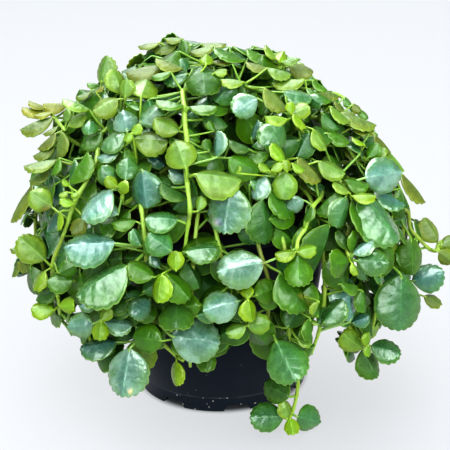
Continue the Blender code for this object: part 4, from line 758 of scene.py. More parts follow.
@dataclass
class Planter:
    """Places every stem and leaf by the rules that the solids follow."""

    seed: int = 20
    rule_spacing: float = 13.5
    rule_lengths: Tuple[float, float] = (18.0, 29.0)
    rule_skirt: float = 38.0
    filling_skirt: float = 44.0
    leaf_room: float = 17.0
    front_fill_depth: float = 8.0
    seen_reach: float = 30.0
    rule_reach: float = 34.0
    shifts: Tuple[float, ...] = (0.0, -1.2, 1.2, -2.4, 2.4, -3.6, -5.0, 3.8, -6.5, -8.0, 5.5,
                                 -10.0, 8.0, -13.0)
    foot_turns: Tuple[float, ...] = (0.0, 0.09, -0.09, 0.18, -0.18, 0.27, -0.27, 0.36, -0.36)
    foot_shifts: Tuple[float, ...] = (0.0, -5.0, 4.0, -9.0)
    pot_sides: int = 32
    pot_clearance: float = 1.0
    rim_clearance: float = 0.8
    rim_width: float = 3.5

    def __post_init__(self) -> None:
        """Start with bare soil."""
        self.view = FrontView()
        self.room = Room()
        self.stems: List[Stem] = []

    def grow(self) -> List[Stem]:
        """Place the whole plant.

        Returns:
            The stems that carry leaves, numbered as the solids are.
        """
        self.keep_clear_of_pot()
        self.seen_stems()
        self.rule_stems()
        self.hang_seen_leaves()
        self.hang_rule_leaves()
        self.stems = [stem for stem in self.stems if stem.leaves]
        for number, stem in enumerate(self.stems):
            stem.name = "leafy_stem_%02d" % (number + 1)
        return self.stems

    def keep_clear_of_pot(self) -> None:
        """Remember the pot's wall and rim, so that nothing grows through them."""
        wall = [(SIZES.foot_radius, 0.0), (SIZES.wall_radius(96.0), 96.0)]
        rim = [(SIZES.lip_radius, 90.0), (SIZES.lip_radius, SIZES.pot_height)]
        for (low_radius, low), (high_radius, high) in (wall, rim):
            verts: List[Vector] = []
            faces: List[Tuple[int, ...]] = []
            for k in range(self.pot_sides):
                way = polar(1.0, 2.0 * pi * k / self.pot_sides, 0.0)
                brim = upward(high + self.rim_clearance)
                verts.append(way * (low_radius + self.pot_clearance) + upward(low))
                verts.append(way * (high_radius + self.pot_clearance) + brim)
                verts.append(way * (high_radius - self.rim_width) + brim)
            for k in range(self.pot_sides):
                near, far = 3 * k, 3 * ((k + 1) % self.pot_sides)
                faces.append((near, far, far + 1, near + 1))
                faces.append((near + 1, far + 1, far + 2, near + 2))
            self.room.add("pot", (verts, faces), "stem")

    def seen_stems(self) -> None:
        """Plant the stems that can be followed from the front."""
        for row in SEEN_STEMS:
            points = [self.view.spot(*place) for place in row]
            self.plant(points, min(13, len(row) + 4), None)

    def rule_stems(self) -> None:
        """Plant the stems that fill the rest of the pot, ring by ring."""
        rng = Random(self.seed)
        for count, first, hole, way in RULE_STEMS:
            for k in range(count):
                angle = radians(first + 360.0 * k / count + rng.uniform(-4.0, 4.0))
                bend = rng.uniform(-0.1, 0.1)
                points = []
                for j, (height, radius) in enumerate(way):
                    swing = angle + bend * j / len(way)
                    radius += rng.uniform(-1.5, 1.5)
                    points.append(polar(radius, swing, height + rng.uniform(-2.0, 2.0)))
                self.plant(points, len(way) + 2, hole + rng.uniform(-2.0, 2.0))

    @staticmethod
    def route(points: Sequence[Vector], hole_radius: float, turn: float) -> List[Vector]:
        """Route that starts upright in the soil and leads over the rim to the points.

        Args:
            points: Points of the stem outside the pot.
            hole_radius: Distance of its hole from the pot's axis.
            turn: How far the hole is turned from the first point, in radians.

        Returns:
            The whole route.
        """
        first = points[0]
        angle = atan2(first.y, first.x) + turn
        reach = hypot(first.x, first.y)
        foot = SIZES.soil_top - SIZES.hole_depth + SIZES.foot_gap

        route = [polar(hole_radius, angle, foot),
                 polar(hole_radius, angle, SIZES.soil_top + 5.0)]
        if reach > SIZES.lip_radius + 6.0 and first.z < 135.0:
            route.append(polar(max(hole_radius + 6.0, 0.62 * reach), angle,
                               max(first.z + 12.0, 126.0)))
        elif first.z > 120.0:
            height = 0.45 * SIZES.soil_top + 0.55 * first.z
            route.append(polar(hole_radius + (reach - hole_radius) * 0.35, angle, height))
        return route + list(points)

    def plant(self, points: Sequence[Vector], steps: int, hole: Optional[float]) -> None:
        """Plant one stem, turning its foot until nothing is crossed.

        Args:
            points: Points of the stem outside the pot.
            steps: Number of knots that the solid's tube has.
            hole: Distance of its hole from the pot's axis, or None to work it out.
        """
        reach = hypot(points[0].x, points[0].y)
        for turn in self.foot_turns:
            for shift in self.foot_shifts:
                radius = (hole or min(49.0, max(8.0, 0.42 * reach))) + shift
                route = self.route(points, min(50.0, max(5.0, radius)), turn)
                stem = Stem("leafy_stem_%02d" % (len(self.stems) + 1), route, steps)
                near = any((stem.hole - other.hole).length < 2.0 * SIZES.hole_radius + 0.8
                           for other in self.stems)
                coarse = stem.solid(SIZES.clearance + 0.3)
                if near or self.room.crosses(coarse, ("stem", "leaf")):
                    continue
                self.room.add(stem.name, stem.solid(), "stem")
                self.stems.append(stem)
                return

    def host_near(self, point: Vector) -> Stem:
        """Stem that passes nearest to a point."""
        return min(self.stems, key=lambda stem: stem.nearest(point)[1])

    @staticmethod
    def under_skirt(point: Vector, angle: float, level: float) -> bool:
        """True under the foliage's wavy lower edge, about this high."""
        return point.z < level + 14.0 * sin(3.0 * angle + 0.6)

    def seen_leaf(self, row: Row, shift: float) -> Leaf:
        """Leaf that shows the listed base, tip and width from the front.

        Args:
            row: Base u, v, tip u, v, width, lift and tone.
            shift: Lift added to the row's own.

        Returns:
            The leaf, not yet tied to a stem.
        """
        base_u, base_v, tip_u, tip_v, wide, lift, tone = row
        view = self.view
        base = view.spot(base_u, base_v, lift + shift)
        scale = view.scale(base)
        flat = (view.right * (tip_u - base_u) - view.up * (tip_v - base_v)) * scale
        shown, width = flat.length, wide * scale
        along = flat.normalized()
        across = view.toward.cross(along)
        wish = (outward(base + flat * 0.5) * 0.5 + upward(0.55)).normalized()
        options = []
        for sign in (1.0, -1.0):
            if width <= SIZES.width_to_length * shown:
                lean = acos(max(0.25, width / (SIZES.width_to_length * shown)))
                face = view.toward * cos(lean) + across * (sign * sin(lean))
                options.append((along, face, shown))
            else:
                length = min(width / SIZES.width_to_length, 2.0 * shown)
                lean = acos(shown / length)
                ahead = along * cos(lean) + view.toward * (sign * sin(lean))
                options.append((ahead, ahead.cross(across), length))
        ahead, face, length = max(options, key=lambda option: option[1].dot(wish))
        return Leaf(base, ahead, face, length, tone)

    def settle(self, leaf: Leaf, reach: float) -> bool:
        """Tie the leaf to a near stem so that it crosses nothing.

        Args:
            leaf: The leaf.
            reach: Longest stalk allowed.

        Returns:
            False if there is no room.
        """
        behind = leaf.base - leaf.ahead * (0.35 * leaf.length) - leaf.face * 3.0
        hosts = sorted(self.stems, key=lambda stem: stem.nearest(behind)[1])[:4]
        for host in hosts:
            leaf.root, gap = host.nearest(behind)
            way = leaf.base - leaf.root
            if gap > reach:
                break
            if way.dot(leaf.ahead) < -0.1 * way.length:
                continue
            thick = leaf.solid(SIZES.clearance)
            if min(v.z for v in thick[0]) < SIZES.floor_clearance:
                return False
            slim = leaf.slim()
            if self.room.crosses(thick, ("stem", "leaf"), others=host.name):
                continue
            if self.room.crosses(slim, ("stem", "slim"), own=host.name):
                continue
            self.room.add(host.name, leaf.solid(), "leaf")
            self.room.add(host.name, slim, "slim")
            host.leaves.append(leaf)
            return True
        return False

    def hang_seen_leaves(self) -> None:
        """Place the listed leaves, the foremost first."""
        for row in sorted(SEEN_LEAVES, key=lambda row: -row[5] - 0.02 * row[4]):
            if self.seen_leaf(row, 0.0).length < SIZES.smallest_length:
                continue
            any(self.settle(self.seen_leaf(row, shift), self.seen_reach)
                for shift in self.shifts)

    def hang_rule_leaves(self) -> None:
        """Cover the places that no listed leaf covers, on every side."""
        rng = Random(self.seed + 1)
        total = int(4.0 * pi * SIZES.dome_radius ** 2 / self.rule_spacing ** 2)
        middles = [leaf.middle() for stem in self.stems for leaf in stem.leaves]
        for k in range(total):
            height = 1.0 - 2.0 * (k + 0.5) / total
            angle = golden_turn(k)
            point = dome_point(height, angle)
            if self.under_skirt(point, angle, self.rule_skirt):
                continue
            hidden = self.view.hidden(point)
            if not hidden and not self.behind_listed_leaf(point, 0.5):
                continue
            point -= outward(point) * (0.0 if hidden else self.front_fill_depth)
            if min((point - middle).length for middle in middles) < self.leaf_room:
                continue
            if self.hang_rule_leaf(point, rng):
                middles.append(point)

    def hang_rule_leaf(self, point: Vector, rng: Random) -> bool:
        """Try a few tilts and depths for one leaf of the rule.

        Args:
            point: Place of its middle.
            rng: Source of its draws.

        Returns:
            False if there is no room.
        """
        host = self.host_near(point)
        root, _ = host.nearest(point)
        out = outward(point)
        away = point - root
        away -= out * away.dot(out)
        down = upward(-1.0) + out * out.z
        spread = scatter(rng)
        ahead = away.normalized() * 0.7 + down * 0.5 + (spread - out * spread.dot(out)) * 0.9
        ahead.normalize()
        length = rng.uniform(*self.rule_lengths)
        deep = rng.uniform(-5.0, 2.5)
        tone = rng.choice("mmmgglldbp")
        lean = scatter(rng)
        for turn in range(14):
            depth = deep + (0.0, -2.0, 2.0, -4.0, -6.0, 3.5, -8.0)[turn % 7]
            size = length
            if turn > 6:
                depth -= 6.0
                size *= 0.75
            face = out * 0.62 + upward(0.45) + lean * 0.42
            base = point + out * depth - ahead * size * 0.5
            leaf = Leaf(base, ahead + out * rng.uniform(-0.1, 0.35), face, size, tone)
            if self.within_outline(leaf) and self.settle(leaf, self.rule_reach):
                return True
            ahead = Matrix.Rotation(0.45, 3, out) @ ahead
        return False

    def behind_listed_leaf(self, point: Vector, reach: float) -> bool:
        """Look for a listed leaf at the point's place in the front view.

        Args:
            point: The point.
            reach: Share of the listed leaf's size that counts as near.

        Returns:
            Whether one is seen there.
        """
        u, v = self.view.seen(point)
        for base_u, base_v, tip_u, tip_v, wide, _, _ in SEEN_LEAVES:
            gap = hypot(0.5 * (base_u + tip_u) - u, 0.5 * (base_v + tip_v) - v)
            if gap < reach * max(wide, hypot(tip_u - base_u, tip_v - base_v)):
                return True
        return False

    def within_outline(self, leaf: Leaf) -> bool:
        """Test a blade against the plant's outline in the front view.

        Args:
            leaf: The leaf.

        Returns:
            True if its base, tip and sides are seen inside.
        """
        across = leaf.face.cross(leaf.ahead) * (0.5 * leaf.width)
        tip = leaf.base + leaf.ahead * leaf.length
        for point in (leaf.base, tip, leaf.middle() + across, leaf.middle() - across):
            u, v = self.view.seen(point)
            inside = False
            for k, (right_u, right_v) in enumerate(PLANT_OUTLINE):
                left_u, left_v = PLANT_OUTLINE[k - 1]
                if (right_v > v) != (left_v > v):
                    share = (v - right_v) / (left_v - right_v)
                    inside ^= u < right_u + (left_u - right_u) * share
            if not inside:
                return False
        return True

    def add_small_leaves(self) -> int:
        """Hang the listed leaves that are too small for a solid.

        Returns:
            How many were hung.
        """
        hung = 0
        short = [row for row in SEEN_LEAVES
                 if self.seen_leaf(row, 0.0).length < SIZES.smallest_length]
        for row in short + list(SPROUTS):
            leaf = self.seen_leaf(row, 0.8)
            host = self.host_near(leaf.base)
            leaf.root, gap = host.nearest(leaf.base - leaf.ahead * 2.0)
            if gap < self.seen_reach:
                host.extras.append(leaf)
                hung += 1
        return hung

    def add_filling(self, layer: Filling) -> int:
        """Hang smaller leaves between and behind the others.

        Args:
            layer: The layer of leaves.

        Returns:
            How many found room.
        """
        rng = Random(layer.seed)
        hung = 0
        for k in range(layer.tries):
            height = 1.0 - 2.0 * (k + rng.random()) / layer.tries
            angle = golden_turn(k) + rng.uniform(-0.1, 0.1)
            point = dome_point(height, angle)
            if self.under_skirt(point, angle, self.filling_skirt):
                continue
            out = outward(point)
            point = point + out * rng.uniform(*layer.heights)
            if not self.view.hidden(point) and not self.behind_listed_leaf(point, 0.42):
                continue
            spread = scatter(rng)
            ahead = spread - out * spread.dot(out) - upward(0.35)
            face = out * 0.6 + upward(0.5) + 0.35 * scatter(rng)
            size = rng.uniform(*layer.lengths)
            tone = rng.choice(layer.tones)
            for turn in range(3):
                way = Matrix.Rotation(2.1 * turn, 3, out) @ ahead.normalized()
                leaf = Leaf(point - way * size * 0.5, way, face, size, tone)
                if self.fits(leaf):
                    hung += 1
                    break
        return hung

    def fits(self, leaf: Leaf) -> bool:
        """Tie a filling leaf to its nearest stem if its blade crosses no other blade.

        Args:
            leaf: The leaf.

        Returns:
            False if it can't hang there.
        """
        behind = leaf.base - leaf.ahead * (0.3 * leaf.length) - leaf.face * 2.0
        host = self.host_near(behind)
        leaf.root, gap = host.nearest(behind)
        if gap > self.rule_reach or gap < 1.5:
            return False
        slim = leaf.slim()
        low = min(v.z for v in slim[0]) < 12.0
        if low or not self.within_outline(leaf) or self.room.crosses(slim, ("slim", "stem")):
            return False
        self.room.add(host.name, slim, "slim")
        leaf.filling = True
        host.extras.append(leaf)
        return True


class Tone(Enum):
    """Looks of a blade: its colour in linear light, how much it varies, and its gloss."""

    DEEP = ("d", (0.05, 0.135, 0.018), 0.38)
    MIDDLE = ("m", (0.061, 0.163, 0.007), 0.35)
    GLOSSY = ("g", (0.068, 0.192, 0.042), 0.28)
    BLUISH = ("b", (0.07, 0.18, 0.1), 0.28)
    LIGHT = ("l", (0.152, 0.255, 0.03), 0.36)
    LIME = ("y", (0.18, 0.298, 0.01), 0.36)
    OLIVE = ("o", (0.136, 0.186, 0.03), 0.42)
    # Pale blades: a pale bluish colour that partly stands in for a painted sheen.
    PALE = ("p", (0.145, 0.29, 0.175), 0.23)
    WARM = ("w", (0.205, 0.225, 0.02), 0.46)

    @staticmethod
    def of(code: str) -> "Tone":
        """Tone with this one-letter code."""
        return next(tone for tone in Tone if tone.value[0] == code)

    def tint(self, rng: Random) -> Paint:
        """Colour and roughness of one blade, varied a little.

        Args:
            rng: Source of the draws.

        Returns:
            Red, green, blue and roughness.
        """
        _, (red, green, blue), rough = self.value
        light = rng.uniform(0.86, 1.16)
        warm = rng.uniform(0.91, 1.09)
        return (red * light * warm, green * light, blue * light / warm, rough)


# Marks seen from the front: u, v, radius, share of the mark's colour, then the colour.
MARKS = (
    (217, 222, 3.2, 0.85, (0.3, 0.29, 0.32)),
    (213, 217, 1.6, 0.75, (0.1, 0.09, 0.09)),
    (221, 224, 1.6, 0.75, (0.1, 0.09, 0.09)),
    (130, 391, 2.2, 0.85, (0.7, 0.56, 0.33)),
    (189, 217, 3.4, 0.8, (0.06, 0.03, 0.02)),
    (265, 263, 3.0, 0.85, (0.08, 0.04, 0.02)),
    (44, 218, 6.0, 0.7, (0.14, 0.095, 0.03)),
    (47, 210, 5.0, 0.6, (0.16, 0.105, 0.035)),
    (301, 296, 2.2, 0.6, (0.4, 0.33, 0.06)),
)


class Layers:
    """Mesh layers that the foliage finishes read, and the marks painted into them."""

    front: float = -40.0

    def __init__(self, work: BMesh, view: FrontView) -> None:
        """Add the layers to a mesh.

        Args:
            work: The mesh.
            view: Front view in which the marks are listed.
        """
        self.work = work
        self.view = view
        self.tint = work.verts.layers.float_color.new("tint")
        self.blade = work.loops.layers.uv.new("blade")

    def marked(self, point: Vector, tint: Sequence[float]) -> Tuple[float, ...]:
        """Tint of a point, with the scars and blotches that lie on it.

        Args:
            point: The point, in millimetres.
            tint: Its tint without marks.

        Returns:
            Red, green, blue and roughness.
        """
        if point.y > self.front:
            return tuple(tint)
        u, v = self.view.seen(point)
        for mark_u, mark_v, radius, share, colour in MARKS:
            gap = hypot(u - mark_u, v - mark_v) / radius
            if gap < 1.6:
                mix = share * min(1.0, max(0.0, 1.6 - gap))
                tint = [a + (b - a) * mix for a, b in zip(tint, (*colour, 0.7))]
        return tuple(tint)


# Half margin without teeth: shares of the length and of the half width.
MARGIN = ((0.0, 0.0), (0.03, 0.19), (0.12, 0.52), (0.28, 0.87), (0.47, 1.03), (0.66, 1.0),
          (0.82, 0.82), (0.93, 0.56), (0.985, 0.27), (1.0, 0.0))


@dataclass(frozen=True)
class BladeShape:
    """Scalloped, folded and quilted blade with this many steps, ribs and teeth a side."""

    steps: int
    ribs: int
    teeth: int
    plain: float = 0.36
    tooth_depth: float = 0.044
    fold: float = 0.24
    quilt: float = 0.011
    groove: float = 0.15
    unevenness: float = 0.01
    thickness: float = 0.55

    def half_margin(self, tooth_depth: float) -> List[Vector]:
        """Half margin with rounded teeth, for a length and a half width of one.

        Args:
            tooth_depth: Depth of the teeth, as a share of the length.

        Returns:
            Its points, from the stalk to the tip.
        """
        flat = [Vector((x, y, 0.0)) for x, y in MARGIN]
        margin = []
        for i in range(self.steps + 1):
            q = i / self.steps
            place = q * (len(flat) - 1)
            point = curve_point(flat, place)
            near = curve_point(flat, min(place + 0.05, len(flat) - 1.0))
            back = curve_point(flat, max(place - 0.05, 0.0))
            along = Vector((near.x - back.x, 0.5 * (near.y - back.y), 0.0)).normalized()
            tooth = 0.0
            if q > self.plain:
                phase = (q - self.plain) / (1.0 - self.plain) * (self.teeth - 0.5)
                tooth = (abs(sin(pi * phase)) ** 0.7 - 0.7) * tooth_depth
            if i in (0, self.steps):
                along = Vector((0.0, 1.0 if i == 0 else -1.0, 0.0))
            y = max(0.0, point.y) + 2.0 * along.x * tooth
            margin.append(Vector((point.x - along.y * tooth, y, 0.0)))
        margin[0] = Vector()
        margin[-1].y = 0.0
        return margin

    def add(self, layers: Layers, leaf: Leaf, rng: Random) -> None:
        """Add one blade to a mesh.

        Args:
            layers: Layers of the mesh.
            leaf: The leaf.
            rng: Source of its small differences.
        """
        work = layers.work
        made = bmesh.ops.create_grid(work, x_segments=self.steps, y_segments=2 * self.ribs,
                                     size=0.5)
        verts = made["verts"]
        spots = {vert: (vert.co.x + 0.5, vert.co.y * 2.0) for vert in verts}
        faces = list({face for vert in verts for face in vert.link_faces})
        for face in faces:
            face.smooth = True
            for loop in face.loops:
                q, s = spots[loop.vert]
                loop[layers.blade].uv = (q, 0.5 + 0.5 * s)
        for edge in {edge for face in faces for edge in face.edges}:
            edge.smooth = any(abs(spots[vert][1]) > 0.01 for vert in edge.verts)
        self.shape(layers, leaf, spots, rng)
        bmesh.ops.remove_doubles(work, verts=verts, dist=0.004)
        faces = [face for face in faces if face.is_valid]
        copied = bmesh.ops.extrude_face_region(work, geom=faces, use_keep_orig=True)["geom"]
        under = [item for item in copied if isinstance(item, BMVert)]
        bmesh.ops.translate(work, verts=under, vec=-leaf.face * self.thickness)

    def shape(self, layers: Layers, leaf: Leaf,
              spots: Dict[BMVert, Tuple[float, float]], rng: Random) -> None:
        """Move a flat grid's points to the blade's surface.

        Args:
            layers: Layers of the mesh.
            leaf: The leaf.
            spots: Share along the margin and signed share across, for each point.
            rng: Source of the small differences.
        """
        length, half = leaf.length, leaf.width * 0.5
        widths = {1: rng.uniform(0.95, 1.05), -1: rng.uniform(0.95, 1.05)}
        fold = self.fold * rng.uniform(0.75, 1.25)
        curl = rng.uniform(-0.02, 0.07)
        wave, phase = rng.uniform(0.0, 0.022), rng.uniform(0.0, 6.28)
        veins = self.teeth - 0.5
        seed = scatter(rng, 50.0)
        tint = Tone.of(leaf.tone).tint(rng)
        margin = self.half_margin(self.tooth_depth * rng.uniform(0.6, 1.25))
        place = leaf.place()
        for vert, (q, s) in spots.items():
            side, share = 1 if s >= 0.0 else -1, abs(s)
            edge = margin[min(self.steps, round(q * self.steps))]
            mid = q * 0.86 + 0.14 * q ** 3
            x = mid + (edge.x - mid) * share
            y = edge.y * share * widths[side] * side
            rise = 4.0 * SIZES.blade_arch * length * x * (1.0 - x)
            rise -= fold * 2.0 * half * abs(y) ** 1.05
            rise -= curl * length * max(0.0, x - 0.35) ** 2
            beat = 9.0 * q * (1.0 if side > 0 else 1.3) + phase
            rise += wave * length * share * share * sin(beat)
            bulge = sin(pi * ((q * veins) % 1.0))
            bulge *= sin(pi * min(1.0, share * 1.1))
            fade = min(1.0, 4.0 * q), min(1.0, 5.0 - 5.0 * q)
            rise += self.quilt * length * (bulge - 0.4) * fade[0] * fade[1]
            rise -= self.groove * max(0.0, 1.0 - share * self.ribs) * min(1.0, 6.0 * q)
            local = Vector((x * length, y * half, rise + 0.5 * self.thickness))
            rough = noise.noise(seed + local * 0.35) * self.unevenness * length
            local.z += rough * min(1.0, 2.0 * share + 0.3)
            vert.co = place @ local
            vert[layers.tint] = layers.marked(vert.co, tint)


SHAPES = {
    RoomOutline.BIG: BladeShape(steps=34, ribs=5, teeth=6),
    RoomOutline.MIDDLE: BladeShape(steps=25, ribs=3, teeth=5, tooth_depth=0.058),
    RoomOutline.SMALL: BladeShape(steps=15, ribs=2, teeth=3, tooth_depth=0.07, quilt=0.0,
                                  thickness=0.4),
}
FILLING_SHAPE = BladeShape(steps=12, ribs=1, teeth=4, quilt=0.0, thickness=0.4)


@dataclass
class Rod:
    """Round rod bent along a route, for stems and stalks."""

    points: Sequence[Vector]
    radii: Sequence[float]
    sides: int

    def frames(self) -> List[Tuple[Vector, Vector]]:
        """Directions across the rod, turning as little as they can.

        Returns:
            Two of them for each point.
        """
        rows = []
        side = None
        last = len(self.points) - 1
        for i in range(last + 1):
            ahead = (self.points[min(i + 1, last)] - self.points[max(i - 1, 0)]).normalized()
            side = ahead.orthogonal() if side is None else side
            side = (side - ahead * side.dot(ahead)).normalized()
            rows.append((side.copy(), ahead.cross(side)))
        return rows

    def add(self, layers: Layers, tints: Sequence[Sequence[float]], material: int) -> None:
        """Add the rod to a mesh.

        Args:
            layers: Layers of the mesh.
            tints: Colour and roughness at each point of the route.
            material: Slot of its finish.
        """
        work = layers.work
        last = len(self.points) - 1
        made = bmesh.ops.create_grid(work, x_segments=last + 2, y_segments=self.sides, size=0.5)
        frames = self.frames()
        faces = {face for vert in made["verts"] for face in vert.link_faces}
        for vert in made["verts"]:
            ring = round((vert.co.x + 0.5) * (last + 2)) - 1
            i = min(last, max(0, ring))
            radius = self.radii[i] if i == ring else 0.0
            turn = 2.0 * pi * (vert.co.y + 0.5)
            side, other = frames[i]
            vert.co = self.points[i] + (side * cos(turn) + other * sin(turn)) * radius
            vert[layers.tint] = layers.marked(vert.co, tints[i])
        for face in faces:
            face.material_index = material
            face.smooth = True
        bmesh.ops.remove_doubles(work, verts=made["verts"], dist=0.002)


@dataclass
class LeafyStem:
    """Fine stem with its stalks and blades, in place of one solid."""

    stem: Stem
    number: int
    view: FrontView
    green: Spot = (0.23, 0.36, 0.08)
    brown: Spot = (0.15, 0.11, 0.045)
    lime: Spot = (0.28, 0.45, 0.08)
    stem_sides: int = 8
    stalk_sides: int = 6
    radius: float = 1.25
    taper: float = 0.45
    swelling: float = 0.28
    swelling_reach: float = 1.6
    ripe: float = 0.24
    hidden_ripe: float = 0.05

    def __post_init__(self) -> None:
        """Gather the leaves, and draw from a seed of this stem's own."""
        self.rng = Random(500 + self.number)
        self.leaves = self.stem.leaves + self.stem.extras

    def route(self) -> List[Vector]:
        """Fine middle line of the stem.

        Returns:
            Its points, from the foot to the tip.
        """
        knots = self.stem.knots
        steps = 4 * (len(knots) - 1) + 6
        places = [1.0 + k * (len(knots) - 2) / (steps - 1) for k in range(steps)]
        return [knots[0]] + [curve_point(knots, place) for place in places]

    def stem_radius(self, share: float, point: Vector) -> float:
        """Radius, smaller towards the tip and larger where leaves stand.

        Args:
            share: Share of the way to the tip.
            point: Point of the middle line.

        Returns:
            The radius there.
        """
        near = min((leaf.root - point).length for leaf in self.leaves)
        swelling = self.swelling * exp(-(near / self.swelling_reach) ** 2)
        return self.radius - self.taper * share + swelling

    def add_stem(self, layers: Layers) -> None:
        """Add the stem itself.

        Args:
            layers: Layers of the mesh.
        """
        points = self.route()
        last = len(points) - 1
        radii = [self.stem_radius(i / last, point) for i, point in enumerate(points)]
        tints = []
        for i, point in enumerate(points):
            share = i / last
            low = self.brown if point.z < SIZES.soil_top + 12.0 else self.green
            mix = share * share
            colour = [a + (b - a) * mix for a, b in zip(low, self.lime)]
            tints.append((*colour, 0.42))
        Rod(points, radii, self.stem_sides).add(layers, tints, 1)

    def add_stalk(self, layers: Layers, leaf: Leaf) -> None:
        """Add the stalk of a leaf, which runs on as the rib under its blade.

        Args:
            layers: Layers of the mesh.
            leaf: The leaf.
        """
        start, end = leaf.root, leaf.base
        reach = (end - start).length
        run = min(0.18 * leaf.length, 3.0)
        inside = leaf.place() @ Vector((run, 0.0, -0.15 * SIZES.blade_thickness))
        bend = start + (end - start) * 0.55 - leaf.face * 0.06 * reach
        knots = [start, bend, end - leaf.face * 0.2, inside]
        steps = 6 if reach > 6.0 else 4
        points = [curve_point(knots, 3.0 * k / steps) for k in range(steps + 1)]
        thick = 0.42 + 0.011 * min(leaf.length, 28.0)
        radii = [thick * (self.radius - self.taper * k / steps) for k in range(steps + 1)]
        radii[-1] *= 0.5
        tint = Tone.of(leaf.tone).tint(self.rng)
        ripe = self.hidden_ripe if leaf.filling else self.ripe
        colour = [a + (b - a) * ripe for a, b in zip(tint, self.lime)]
        Rod(points, radii, self.stalk_sides).add(layers, [(*colour, 0.4)] * (steps + 1), 1)

    def build(self, shift: Vector) -> Object:
        """Make the whole leafy stem.

        Args:
            shift: The pot's axis, in metres.

        Returns:
            The piece.
        """
        work = bmesh.new()
        layers = Layers(work, self.view)
        self.add_stem(layers)
        for leaf in self.leaves:
            self.add_stalk(layers, leaf)
        for leaf in self.leaves:
            shape = FILLING_SHAPE if leaf.filling else SHAPES[RoomOutline.of(leaf.length)]
            shape.add(layers, leaf, self.rng)
        return piece_from(work, "fine_" + self.stem.name, shift, outwards=True)


def turned_form(section: Sequence[Tuple[float, float]], steps: int) -> BMesh:
    """Closed form turned round the upright axis.

    Args:
        section: Radius and height of its points, from axis to axis.
        steps: Number of faces round it.

    Returns:
        The form, with its faces outwards.
    """
    work = bmesh.new()
    verts = [work.verts.new((radius, 0.0, height)) for radius, height in section]
    edges = [work.edges.new(pair) for pair in zip(verts, verts[1:])]
    bmesh.ops.spin(work, geom=verts + edges, axis=(0.0, 0.0, 1.0),
                   angle=2.0 * pi, steps=steps, use_merge=True)
    bmesh.ops.remove_doubles(work, verts=work.verts, dist=1e-4)
    bmesh.ops.recalc_face_normals(work, faces=work.faces)
    return work


def piece_from(work: BMesh, name: str, shift: Vector,
               rounded: bool = False, outwards: bool = False) -> Object:
    """Turn a finished bmesh into an object of the scene.

    Args:
        work: The bmesh in millimetres round the pot's axis, freed here.
        name: Name of the piece.
        shift: The pot's axis, in metres.
        rounded: Whether all its faces are shaded smooth.
        outwards: Whether its faces are turned outwards here.

    Returns:
        The new object, in metres.
    """
    place = Matrix.Translation(shift) @ Matrix.Diagonal((MM, MM, MM, 1.0))
    bmesh.ops.transform(work, matrix=place, verts=work.verts)
    if outwards:
        bmesh.ops.recalc_face_normals(work, faces=work.faces)
    if rounded:
        for face in work.faces:
            face.smooth = True
    mesh = bpy.data.meshes.new(name)
    work.to_mesh(mesh)
    work.free()
    made = bpy.data.objects.new(name, mesh)
    bpy.context.scene.collection.objects.link(made)
    return made


